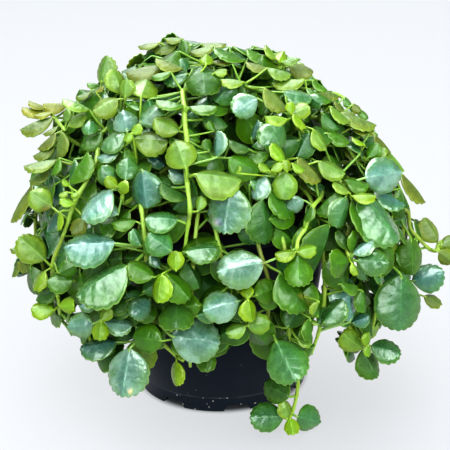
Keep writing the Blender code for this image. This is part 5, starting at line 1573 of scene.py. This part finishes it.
class NodeSheet:
    """Layout of one material's nodes."""

    def __init__(self, name: str) -> None:
        """Start a material.

        Args:
            name: Its name.
        """
        self.material = bpy.data.materials.new(name)
        self.material.use_nodes = True
        self.tree = self.material.node_tree
        self.shader = self.tree.nodes["Principled BSDF"]

    def add(self, kind: str, **settings: object) -> Node:
        """Add a node.

        Args:
            kind: Its kind, without the word ShaderNode.
            settings: Its settings.

        Returns:
            The node.
        """
        node = self.tree.nodes.new("ShaderNode" + kind)
        for key, value in settings.items():
            setattr(node, key, value)
        return node

    def feed(self, socket: NodeSocket, source: object) -> None:
        """Link a socket to another one, or set its value.

        Args:
            socket: The socket.
            source: Another socket or a value.
        """
        if isinstance(source, NodeSocket):
            self.tree.links.new(source, socket)
        else:
            socket.default_value = source

    def put(self, name: str, source: object) -> None:
        """Feed one of the shader's own sockets."""
        self.feed(self.shader.inputs[name], source)

    def math(self, operation: str, first: object, second: object = 0.0,
             clamp: bool = False) -> NodeSocket:
        """Output of a Math node.

        Args:
            operation: Name of the operation.
            first: First value or socket.
            second: Second value or socket.
            clamp: Keep the result between 0 and 1.

        Returns:
            The result.
        """
        node = self.add("Math", operation=operation, use_clamp=clamp)
        self.feed(node.inputs[0], first)
        self.feed(node.inputs[1], second)
        return node.outputs[0]

    def times(self, first: object, second: object) -> NodeSocket:
        """Product of two values or sockets."""
        return self.math("MULTIPLY", first, second)

    def ramp(self, value: object, low: float, high: float, to_low: float = 0.0,
             to_high: float = 1.0) -> NodeSocket:
        """Smooth step of a value between two limits.

        Args:
            value: The value.
            low: Value that gives to_low.
            high: Value that gives to_high.
            to_low: Result at low.
            to_high: Result at high.

        Returns:
            The result.
        """
        node = self.add("MapRange", interpolation_type="SMOOTHSTEP")
        for socket, source in zip(node.inputs, (value, low, high, to_low, to_high)):
            self.feed(socket, source)
        return node.outputs[0]

    def noise(self, scale: float, detail: float = 3.0,
              rough: float = 0.55) -> NodeSocket:
        """Value of a noise texture.

        Args:
            scale: How fine it is.
            detail: How many finer layers it has.
            rough: Share of each finer layer.

        Returns:
            The value, about 0.5.
        """
        node = self.add("TexNoise")
        self.feed(node.inputs["Vector"], self.coordinates())
        self.feed(node.inputs["Scale"], scale)
        self.feed(node.inputs["Detail"], detail)
        self.feed(node.inputs["Roughness"], rough)
        return node.outputs[0]

    def coordinates(self) -> NodeSocket:
        """Object coordinates."""
        return self.add("TexCoord").outputs["Object"]

    def cells(self, scale: float) -> Node:
        """Texture of uneven cells.

        Args:
            scale: How fine it is.

        Returns:
            The node, with each cell's distance and colour.
        """
        node = self.add("TexVoronoi", feature="F1")
        self.feed(node.inputs["Vector"], self.coordinates())
        self.feed(node.inputs["Scale"], scale)
        return node

    def mix(self, share: object, first: object, second: object,
            blend: str = "MIX") -> NodeSocket:
        """Mix of two colours.

        Args:
            share: Share of the second.
            first: First colour.
            second: Second colour.
            blend: How they are mixed.

        Returns:
            The colour.
        """
        node = self.add("Mix", data_type="RGBA", blend_type=blend)
        self.feed(node.inputs[0], share)
        self.feed(node.inputs[6], first)
        self.feed(node.inputs[7], second)
        return node.outputs[2]

    def bump(self, height: object, distance: float, strength: float = 1.0,
             normal: object = None) -> NodeSocket:
        """Normal of a height.

        Args:
            height: The height, 0 to 1.
            distance: Its size in metres.
            strength: Share of it that shows.
            normal: Normal that it is added to.

        Returns:
            The normal.
        """
        node = self.add("Bump")
        self.feed(node.inputs["Height"], height)
        self.feed(node.inputs["Distance"], distance)
        self.feed(node.inputs["Strength"], strength)
        if normal is not None:
            self.feed(node.inputs["Normal"], normal)
        return node.outputs[0]


@dataclass(frozen=True)
class BladeFinish:
    """Waxy blade: veins, mottling, a paler rim, and painted pale sheen patches on the glossiest
    blades.
    """

    name: str = "leaf_blade"
    veins: float = 5.5
    vein_light: float = 1.25
    mottle: float = 0.14
    rim: Paint = (0.36, 0.56, 0.1, 1.0)
    painted_sheen: Paint = (0.27, 0.42, 0.33, 1.0)
    deep: Paint = (0.72, 0.8, 0.7, 1.0)
    even: Paint = (1.0, 1.0, 1.0, 1.0)
    inner: Paint = (0.86, 0.92, 1.22, 1.0)
    outer: Paint = (1.14, 1.05, 0.74, 1.0)

    def make(self) -> Material:
        """Lay out the material's nodes.

        Returns:
            The material.
        """
        sheet = NodeSheet(self.name)
        tint = sheet.add("Attribute", attribute_name="tint")
        gloss = tint.outputs["Alpha"]
        spot = sheet.add("SeparateXYZ")
        sheet.feed(spot.inputs[0], sheet.add("UVMap", uv_map="blade").outputs[0])
        across = sheet.times(sheet.math("ABSOLUTE", sheet.math(
            "SUBTRACT", spot.outputs[1], 0.5)), 2.0)
        along = sheet.math("ADD", sheet.times(spot.outputs[0], self.veins),
                           sheet.times(sheet.noise(260.0, 2.0), 0.1))
        gap = sheet.math("SUBTRACT", 0.5, sheet.math("ABSOLUTE", sheet.math(
            "SUBTRACT", sheet.math("FRACT", along), 0.5)))
        side_vein = sheet.times(sheet.ramp(gap, 0.02, 0.11, 1.0, 0.0),
                                sheet.ramp(across, 0.55, 1.0, 1.0, 0.15))
        rib = sheet.ramp(across, 0.01, 0.085, 1.0, 0.0)
        vein = sheet.math("MAXIMUM", rib, sheet.times(side_vein, 0.55))
        cell = sheet.cells(520.0).outputs["Distance"]
        mottled = sheet.ramp(sheet.noise(170.0, 4.0), 0.3, 0.7, 1.0 - self.mottle,
                             1.0 + self.mottle)
        scaled = sheet.add("VectorMath", operation="SCALE")
        sheet.feed(scaled.inputs[0], tint.outputs["Color"])
        sheet.feed(scaled.inputs["Scale"], sheet.times(mottled, sheet.math(
            "ADD", 1.0, sheet.times(vein, self.vein_light - 1.0))))
        hue = sheet.mix(sheet.ramp(across, 0.25, 0.95), self.inner, self.outer)
        shaded = sheet.mix(1.0, scaled.outputs[0], hue, "MULTIPLY")
        # Painted sheen: noisy pale bluish patches mixed into the colour of the glossiest blades.
        sheen_patch = sheet.times(sheet.ramp(sheet.noise(95.0, 3.0), 0.42, 0.6),
                            sheet.ramp(gloss, 0.23, 0.29, 0.55, 0.0))
        under = sheet.mix(sheet.ramp(gloss, 0.23, 0.33), self.deep, self.even)
        shaded = sheet.mix(1.0, shaded, under, "MULTIPLY")
        shaded = sheet.mix(sheen_patch, shaded, self.painted_sheen)
        rim = sheet.ramp(across, 0.93, 1.0, 0.0, 0.32)
        sheet.put("Base Color", sheet.mix(rim, shaded, self.rim))
        sheet.put("Roughness", sheet.math(
            "ADD", gloss, sheet.ramp(sheet.noise(420.0, 2.0), 0.3, 0.7, -0.05, 0.09)))
        height = sheet.math("SUBTRACT", sheet.times(cell, 0.5), sheet.times(vein, 0.9))
        normal = sheet.bump(height, 0.00016, 0.6)
        sheet.put("Normal", sheet.bump(sheet.noise(170.0, 2.5), 0.0013, 0.7, normal))
        sheet.put("Specular IOR Level", sheet.ramp(gloss, 0.22, 0.4, 0.6, 0.25))
        sheet.put("Coat Weight", sheet.ramp(gloss, 0.22, 0.42, 0.74, 0.16))
        sheet.put("Coat Roughness", 0.17)
        sheet.put("Subsurface Weight", 0.18)
        sheet.put("Subsurface Radius", (0.6, 1.0, 0.25))
        sheet.put("Subsurface Scale", 0.0012)
        return sheet.material


@dataclass(frozen=True)
class StemFinish:
    """Fleshy stem with fine lengthwise mottling and brownish flecks."""

    name: str = "leaf_stem"
    flecks: Paint = (0.16, 0.1, 0.04, 1.0)

    def make(self) -> Material:
        """Lay out the material's nodes.

        Returns:
            The material.
        """
        sheet = NodeSheet(self.name)
        tint = sheet.add("Attribute", attribute_name="tint")
        fleck = sheet.ramp(sheet.noise(480.0, 4.0), 0.58, 0.7, 0.0, 0.55)
        sheet.put("Base Color", sheet.mix(fleck, tint.outputs["Color"], self.flecks))
        sheet.put("Roughness", sheet.ramp(sheet.noise(300.0, 2.0), 0.3, 0.7, 0.34, 0.52))
        sheet.put("Normal", sheet.bump(sheet.noise(700.0, 3.0), 0.00018, 0.7))
        sheet.put("Subsurface Weight", 0.25)
        sheet.put("Subsurface Radius", (0.8, 1.0, 0.4))
        sheet.put("Subsurface Scale", 0.0014)
        return sheet.material


@dataclass(frozen=True)
class PotFinish:
    """Black moulded plastic: fine grain, dust, pale lines along the ridge and the foot step, and
    dried splashes.
    """

    name: str = "pot_plastic"
    black: Paint = (0.012, 0.018, 0.027, 1.0)
    dust: Paint = (0.085, 0.098, 0.112, 1.0)
    pale_line_heights: Tuple[float, float] = (0.0089, 0.087)

    def make(self) -> Material:
        """Lay out the material's nodes.

        Returns:
            The material.
        """
        sheet = NodeSheet(self.name)
        cloud = sheet.ramp(sheet.noise(26.0, 5.0, rough=0.65), 0.45, 0.8, 0.0, 0.12)
        grain = sheet.ramp(sheet.noise(1500.0, 2.0), 0.62, 0.75, 0.0, 0.1)
        speck = sheet.cells(190.0)
        dot = sheet.ramp(speck.outputs["Distance"], 0.05, 0.13, 1.0, 0.0)
        some = sheet.ramp(speck.outputs["Color"], 0.62, 0.66, 0.0, 0.55)
        veil = sheet.math("MAXIMUM", sheet.math("ADD", cloud, grain),
                          sheet.times(dot, some), clamp=True)
        spot = sheet.add("SeparateXYZ")
        sheet.feed(spot.inputs[0], sheet.coordinates())
        # Pale lines drawn at the heights of the foot step and the ridge.
        for edge in self.pale_line_heights:
            away = sheet.math("ABSOLUTE", sheet.math("SUBTRACT", spot.outputs[2], edge))
            pale_line = sheet.times(sheet.ramp(away, 0.0002, 0.0007, 0.55, 0.0),
                               sheet.ramp(sheet.noise(90.0, 3.0), 0.35, 0.6))
            veil = sheet.math("MAXIMUM", veil, pale_line)
        sheet.put("Base Color", sheet.mix(veil, self.black, self.dust))
        sheet.put("Roughness", sheet.math("ADD", 0.36, sheet.times(veil, 0.35)))
        sheet.put("Specular IOR Level", 0.16)
        fine = sheet.bump(sheet.noise(1100.0, 3.0), 0.00006, 0.6)
        sheet.put("Normal", sheet.bump(sheet.noise(60.0, 3.0), 0.0004, 0.25, fine))
        return sheet.material


@dataclass(frozen=True)
class EarthFinish:
    """Damp potting mix: peat, bark and pale grit."""

    name: str = "potting_mix"
    peat: Paint = (0.02, 0.012, 0.007, 1.0)
    bark: Paint = (0.11, 0.062, 0.03, 1.0)
    grit: Paint = (0.42, 0.39, 0.33, 1.0)

    def make(self) -> Material:
        """Lay out the material's nodes.

        Returns:
            The material.
        """
        sheet = NodeSheet(self.name)
        chips = sheet.cells(260.0)
        lump = sheet.ramp(chips.outputs["Color"], 0.35, 0.75)
        ground = sheet.mix(lump, self.peat, self.bark)
        speck = sheet.cells(420.0)
        pale = sheet.times(sheet.ramp(speck.outputs["Color"], 0.86, 0.9),
                           sheet.ramp(speck.outputs["Distance"], 0.2, 0.34, 1.0, 0.0))
        sheet.put("Base Color", sheet.mix(pale, ground, self.grit))
        sheet.put("Roughness", 0.93)
        rough = sheet.bump(chips.outputs["Distance"], 0.0012, 0.8)
        sheet.put("Normal", sheet.bump(sheet.noise(500.0, 5.0), 0.0008, 0.8, rough))
        return sheet.material


@dataclass(frozen=True)
class BitFinish:
    """Small bit of one colour with a little unevenness."""

    name: str
    colour: Paint
    roughness: float

    def make(self) -> Material:
        """Lay out the material's nodes.

        Returns:
            The material.
        """
        sheet = NodeSheet(self.name)
        dark = tuple(0.6 * c for c in self.colour[:3]) + (1.0,)
        sheet.put("Base Color", sheet.mix(
            sheet.ramp(sheet.noise(700.0, 3.0), 0.35, 0.7), self.colour, dark))
        sheet.put("Roughness", self.roughness)
        sheet.put("Normal", sheet.bump(sheet.noise(900.0, 3.0), 0.0002, 0.6))
        return sheet.material


@dataclass
class NurseryPot:
    """Moulded pot with a rolled rim band, a ridge and a notched foot ring."""

    segments: int = 120
    wall: float = 1.5
    ridge_drop: float = 18.0
    foot_step: float = 8.5
    foot_recess: float = 4.2
    ring_width: float = 7.0
    notch_width: float = 13.3
    notches: int = 8
    first_notch: float = -80.5
    drain_radius: float = 4.0
    drain_circle: float = 26.0
    drains: int = 4

    def section(self) -> List[Tuple[float, float]]:
        """Section of the pot.

        Returns:
            Radius and height of its points, from the underside over the rim to the floor.
        """
        wall, foot, lip_r = SIZES.wall_radius, SIZES.foot_radius, SIZES.lip_radius
        lip = SIZES.pot_height - SIZES.lip_height
        ridge = SIZES.pot_height - self.ridge_drop
        top, step, recess = SIZES.pot_height, self.foot_step, self.foot_recess
        ring, brim, floor = foot - self.ring_width, lip_r - self.wall, recess + self.wall
        return [
            (0.0, recess), (ring - 0.6, recess), (ring, recess - 0.6), (ring, 0.5),
            (ring + 0.5, 0.0), (foot - 1.0, 0.0), (foot - 0.3, 0.6),
            (wall(step) - 0.5, step - 0.2), (wall(step) - 0.35, step + 0.2),
            (wall(step) + 0.1, step + 0.7), (wall(30.0), 30.0), (wall(60.0), 60.0),
            (wall(ridge) - 0.1, ridge - 0.9), (wall(ridge) + 0.35, ridge - 0.3),
            (wall(ridge) + 0.4, ridge + 0.2), (wall(lip) - 0.1, lip - 0.3),
            (wall(lip) + 0.3, lip), (lip_r - 0.7, lip), (lip_r - 0.4, lip + 0.4),
            (lip_r - 0.1, top - 1.2), (lip_r - 0.3, top - 0.3), (lip_r - 0.9, top),
            (brim, top - 0.2), (brim - 0.35, top - 1.0),
            (wall(floor) - self.wall, floor + 0.6),
            (wall(floor) - self.wall - 0.6, floor), (0.0, floor),
        ]

    def build(self, shift: Vector) -> Object:
        """Make the pot.

        Args:
            shift: Place of its axis, in metres.

        Returns:
            The piece.
        """
        work = turned_form(self.section(), self.segments)
        pot = piece_from(work, "nursery_pot", shift)
        cuts = self.cutters(shift)
        step = pot.modifiers.new("cuts", "BOOLEAN")
        step.operation = "DIFFERENCE"
        step.operand_type = "COLLECTION"
        step.collection = cuts
        step.solver = "MANIFOLD"
        graph = bpy.context.evaluated_depsgraph_get()
        cut = bpy.data.meshes.new_from_object(pot.evaluated_get(graph))
        pot.modifiers.clear()
        pot.data = cut
        for cutter in list(cuts.objects):
            bpy.data.objects.remove(cutter)
        bpy.data.collections.remove(cuts)
        cut.shade_smooth()
        cut.set_sharp_from_angle(angle=radians(38.0))
        return pot

    def cutters(self, shift: Vector) -> Collection:
        """Blocks and drums that cut the foot's notches and the drain holes.

        Args:
            shift: The pot's axis, in metres.

        Returns:
            The collection that holds them.
        """
        group = bpy.data.collections.new("pot_cuts")
        bpy.context.scene.collection.children.link(group)
        cutters = []
        for k in range(self.notches):
            work = bmesh.new()
            turn = radians(self.first_notch + 360.0 * k / self.notches)
            height = self.foot_recess + 2.0
            size = (self.ring_width + 7.0, self.notch_width + 2.4, height, 1.0)
            bmesh.ops.create_cube(work, size=1.0, matrix=Matrix.Diagonal(size))
            for vert in work.verts:
                if vert.co.z > 0.0:
                    vert.co.y *= (self.notch_width - 1.6) / (self.notch_width + 2.4)
            middle = Vector((SIZES.foot_radius - 0.5 * self.ring_width, 0.0, 0.5 * height - 2.05))
            bmesh.ops.transform(work, verts=work.verts,
                                matrix=Matrix.Rotation(turn, 4, "Z") @ Matrix.Translation(middle))
            cutters.append(piece_from(work, "notch_%d" % k, shift))
        for k in range(self.drains):
            work = bmesh.new()
            turn = radians(45.0 + 360.0 * k / self.drains)
            middle = polar(self.drain_circle, turn, self.foot_recess + 0.5 * self.wall)
            bmesh.ops.create_cone(work, cap_ends=True, segments=24, radius1=self.drain_radius,
                                  radius2=self.drain_radius, depth=self.wall + 4.0,
                                  matrix=Matrix.Translation(middle))
            cutters.append(piece_from(work, "drain_%d" % k, shift))
        for cutter in cutters:
            bpy.context.scene.collection.objects.unlink(cutter)
            group.objects.link(cutter)
        return group


@dataclass
class PottingMix:
    """Root ball with an uneven, crumbly top, and bark chips lying on it."""

    segments: int = 72
    gap: float = 0.35
    floor: float = 6.05
    shoulder: float = 94.0
    chips: int = 46

    def build(self, shift: Vector) -> Object:
        """Make the root ball.

        Args:
            shift: The pot's axis, in metres.

        Returns:
            The piece.
        """
        side = SIZES.wall_radius(self.shoulder) - 1.5 - self.gap - 0.4
        low = SIZES.wall_radius(self.floor) - 1.5 - self.gap - 0.6
        section = [(0.0, self.floor), (low, self.floor), (side, self.shoulder),
                   (side - 0.3, SIZES.soil_top - 1.6), (side - 2.0, SIZES.soil_top - 0.6)]
        section += [(side * (1.0 - k / 15.0), SIZES.soil_top - 0.2) for k in range(1, 15)]
        section += [(0.0, SIZES.soil_top - 0.2)]
        work = turned_form(section, self.segments)
        for vert in work.verts:
            if vert.co.z > SIZES.soil_top - 1.0:
                rough = noise.fractal(vert.co * 0.16, 0.7, 2.0, 4)
                vert.co.z += 1.1 * rough - 0.3
        self.add_chips(work, side)
        return piece_from(work, "root_ball", shift, rounded=True)

    def add_chips(self, work: BMesh, reach: float) -> None:
        """Scatter small bark chips on the top.

        Args:
            work: The root ball's bmesh.
            reach: Radius of the top.
        """
        rng = Random(77)
        for _ in range(self.chips):
            turn, out = rng.uniform(0.0, 2.0 * pi), reach * sqrt(rng.random()) * 0.94
            size = rng.uniform(1.2, 2.8)
            place = Matrix.Translation(polar(out, turn, SIZES.soil_top + 0.1))
            tilt = Matrix.Rotation(rng.uniform(0.0, 3.1), 4, Vector((rng.random(), 0.4, 0.8)))
            form = Matrix.Diagonal((size, size * 0.6, size * 0.28, 1.0))
            bmesh.ops.create_icosphere(work, subdivisions=1, radius=1.0, matrix=place @ tilt @ form)


@dataclass
class Specks:
    """Pale bits of grit and dried splash that stick to the pot's front."""

    places: Tuple[Spot, ...] = (
        (177, 395, 0.55), (196, 390, 0.35), (203, 398, 0.4), (183, 404, 0.45), (178, 404, 0.3),
        (213, 401, 0.5), (220, 398, 0.35), (227, 398, 0.4), (195, 409, 0.6), (209, 407, 0.4),
        (235, 240, 0.4), (222, 246, 0.35), (180, 395, 0.3), (255, 403, 0.6), (165, 398, 0.3),
        (190, 396, 0.25), (241, 404, 0.3), (172, 388, 0.25), (207, 404, 0.3))
    nearest: float = 600.0
    stride: float = 0.25
    strides: int = 1200

    def build(self, view: FrontView, shift: Vector) -> Object:
        """Make the specks.

        Args:
            view: Front view in which their places are listed.
            shift: The pot's axis, in metres.

        Returns:
            The piece.
        """
        work = bmesh.new()
        rng = Random(31)
        for u, v, size in self.places:
            point, out = self.on_wall(view, u, v)
            turn = out.to_track_quat("Z", "X").to_matrix().to_4x4()
            spin = Matrix.Rotation(rng.uniform(0.0, 3.1), 4, "Z")
            form = Matrix.Diagonal((size * rng.uniform(0.9, 1.5), size, size * 0.35, 1.0))
            bmesh.ops.create_icosphere(work, subdivisions=2, radius=1.0,
                                       matrix=Matrix.Translation(point) @ turn @ spin @ form)
        return piece_from(work, "pale_specks", shift, rounded=True)

    def on_wall(self, view: FrontView, u: float, v: float) -> Tuple[Vector, Vector]:
        """Point of the pot's wall that is seen at a place.

        Args:
            view: Front view of the plant.
            u: Place across the view.
            v: Place down the view.

        Returns:
            The point, and the direction out of the wall.
        """
        way = view.ray(u, v)
        for step in range(self.strides):
            point = view.eye + way * (self.nearest + self.stride * step)
            if hypot(point.x, point.y) <= SIZES.wall_radius(point.z):
                return point, Vector((point.x, point.y, 0.0)).normalized()
        return point, -way


@dataclass
class Studio:
    """Pale floor, soft light and the camera at the photograph's angle."""

    floor_size: float = 9.0
    floor_colour: Paint = (0.1, 0.1, 0.105, 1.0)
    # Floor glow inside and outside the painted shadow, and the middle of that painted shadow in
    # front of the pot.
    painted_shade_glow: Tuple[float, float] = (0.48, 0.545)
    painted_shadow_spot: Spot = (0.03, -0.06, 0.0)
    aim: Spot = (0.0, 0.0, 0.08)
    lamp_colour: Spot = (0.91, 0.97, 1.0)
    paper_glow: Paint = (0.965, 0.98, 1.0, 1.0)
    sky: Paint = (0.93, 0.965, 1.0, 1.0)
    sky_strength: float = 0.28
    # name, place, side of the box, watts, lights matt surfaces, shows in glossy ones
    lights: Tuple[tuple, ...] = (
        ("overhead_softbox", (-0.2, 0.2, 1.4), 1.7, 15.0, True, False),
        ("overhead_sheen", (-0.25, 0.5, 1.4), 1.2, 42.0, False, True),
        ("back_softbox", (0.0, 2.0, 0.85), 1.6, 4.0, True, True),
        ("front_softbox", (-0.2, -1.3, 1.3), 1.7, 24.5, True, False),
        ("front_sheen", (-0.4, -0.9, 1.5), 1.0, 24.0, False, True),
        ("low_sheen", (-0.8, -1.7, 0.75), 0.9, 14.0, False, True),
        ("right_sheen", (0.95, -1.35, 1.15), 0.9, 20.0, False, True),
        ("low_fill", (0.2, -2.0, 0.5), 2.0, 21.0, True, False),
        ("left_fill", (-1.9, -0.3, 1.0), 2.0, 5.0, True, False),
        ("right_fill", (1.8, -0.9, 0.9), 2.0, 24.0, True, False),
    )

    def build(self, view: FrontView, shift: Vector) -> None:
        """Set up the floor, the lights, the world and the camera.

        Args:
            view: Front view of the plant.
            shift: The pot's axis, in metres.
        """
        self.floor(shift)
        for row in self.lights:
            self.light(*row)
        self.world()
        self.camera(view, shift)

    def floor(self, foot: Vector) -> None:
        """Lay the glowing floor, with a painted shadow in front of the pot and painted shade under
        it.

        Args:
            foot: Middle of the pot's foot.
        """
        work = bmesh.new()
        bmesh.ops.create_grid(work, x_segments=1, y_segments=1, size=0.5 * self.floor_size / MM)
        floor = piece_from(work, "studio_floor", Vector())
        sheet = NodeSheet("floor_paper")
        sheet.put("Base Color", self.floor_colour)
        sheet.put("Roughness", 0.75)
        sheet.put("Specular IOR Level", 0.1)
        sheet.put("Emission Color", self.paper_glow)
        painted_shade_glow: object = 1.0
        # Painted shadow: the glow is dimmed round a spot in front of and right of the pot, and
        # nearly put out under its foot.
        for middle, rows in ((self.painted_shadow_spot, (0.015, 0.12, *self.painted_shade_glow)),
                             (foot, (0.042, 0.049, 0.04, 1.0))):
            reach = sheet.add("VectorMath", operation="DISTANCE")
            sheet.feed(reach.inputs[0], sheet.coordinates())
            sheet.feed(reach.inputs[1], middle)
            painted_shade_glow = sheet.times(painted_shade_glow, sheet.ramp(reach.outputs["Value"], *rows))
        sheet.put("Emission Strength", painted_shade_glow)
        floor.data.materials.append(sheet.material)

    def light(self, name: str, place: Spot, size: float, power: float,
              matt: bool, glossy: bool) -> None:
        """Hang one square softbox that faces the plant.

        Args:
            name: Its name.
            place: Where it hangs, in metres.
            size: Length of its side.
            power: Its power in watts.
            matt: Whether it lights matt surfaces.
            glossy: Whether glossy surfaces show it.
        """
        lamp = bpy.data.lights.new(name, "AREA")
        lamp.size = size
        lamp.energy = power
        lamp.color = self.lamp_colour
        made = bpy.data.objects.new(name, lamp)
        made.visible_diffuse = matt
        made.visible_glossy = glossy
        made.location = place
        way = Vector(self.aim) - Vector(place)
        made.rotation_euler = way.to_track_quat("-Z", "Y").to_euler()
        bpy.context.scene.collection.objects.link(made)

    def world(self) -> None:
        """Surround the set with even pale light."""
        world = bpy.data.worlds.new("studio")
        world.use_nodes = True
        back = world.node_tree.nodes["Background"]
        back.inputs["Color"].default_value = self.sky
        back.inputs["Strength"].default_value = self.sky_strength
        bpy.context.scene.world = world
        settings = bpy.context.scene.view_settings
        settings.view_transform = "Standard"
        settings.look = "High Contrast"

    @staticmethod
    def camera(view: FrontView, shift: Vector) -> None:
        """Stand the camera where the front view is seen from.

        Args:
            view: Front view of the plant.
            shift: The pot's axis, in metres.
        """
        lens = bpy.data.cameras.new("front_camera")
        lens.sensor_width = 36.0
        lens.lens = view.focal / view.width * lens.sensor_width
        lens.clip_start = 0.02
        made = bpy.data.objects.new("front_camera", lens)
        turn = Matrix((view.right, view.up, view.toward)).transposed().to_4x4()
        made.matrix_world = Matrix.Translation(view.eye * MM + shift) @ turn
        bpy.context.scene.collection.objects.link(made)
        bpy.context.scene.camera = made


def dress(piece: Object, nodes: Sequence[str],
          finishes: Sequence[Material]) -> None:
    """Give a piece its finishes and tie it to the solids that it stands for.

    Args:
        piece: The piece.
        nodes: Solids that it replaces.
        finishes: Its materials, in the order of their slots.
    """
    piece.data.materials.clear()
    for finish in finishes:
        piece.data.materials.append(finish)
    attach(piece, "root")
    for node in nodes:
        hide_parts(node)


def pot_axis() -> Vector:
    """Where the pot's axis stands, in metres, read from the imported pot."""
    low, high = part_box("pot")
    return Vector((0.5 * (low.x + high.x), 0.5 * (low.y + high.y), 0.0))


def check_stems(stems: Sequence[Stem]) -> None:
    """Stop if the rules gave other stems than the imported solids."""
    solids = sorted(name for name in frame["nodes"] if name.startswith("leafy_stem"))
    if len(solids) != len(stems):
        raise ValueError("%d stems for %d solids" % (len(stems), len(solids)))


def main() -> None:
    """Build every piece and the studio around them."""
    shift = pot_axis()
    planter = Planter()
    stems = planter.grow()
    check_stems(stems)
    small = planter.add_small_leaves()
    between = planter.add_filling(Filling(1700, (-12.0, -2.0), (11.0, 18.0), "dmmmgg", 41))
    # The inner layer's tones lean to deep green, partly painted shade inside the crown.
    inner = planter.add_filling(Filling(700, (-26.0, -11.0), (17.0, 25.0), "ddmm", 42))
    LOG.info("small leaves %d, between %d, inner %d", small, between, inner)
    foliage = [BladeFinish().make(), StemFinish().make()]
    for number, stem in enumerate(stems):
        dress(LeafyStem(stem, number, planter.view).build(shift), [stem.name], foliage)
    dress(NurseryPot().build(shift), ["pot"], [PotFinish().make()])
    dress(PottingMix().build(shift), ["soil"], [EarthFinish().make()])
    grit = BitFinish("pale_grit", (0.3, 0.29, 0.27, 1.0), 0.85)
    dress(Specks().build(planter.view, shift), [], [grit.make()])
    Studio().build(planter.view, shift)


if __name__ == "__main__":
    logging.basicConfig(level=logging.INFO, format="%(message)s")
    main()
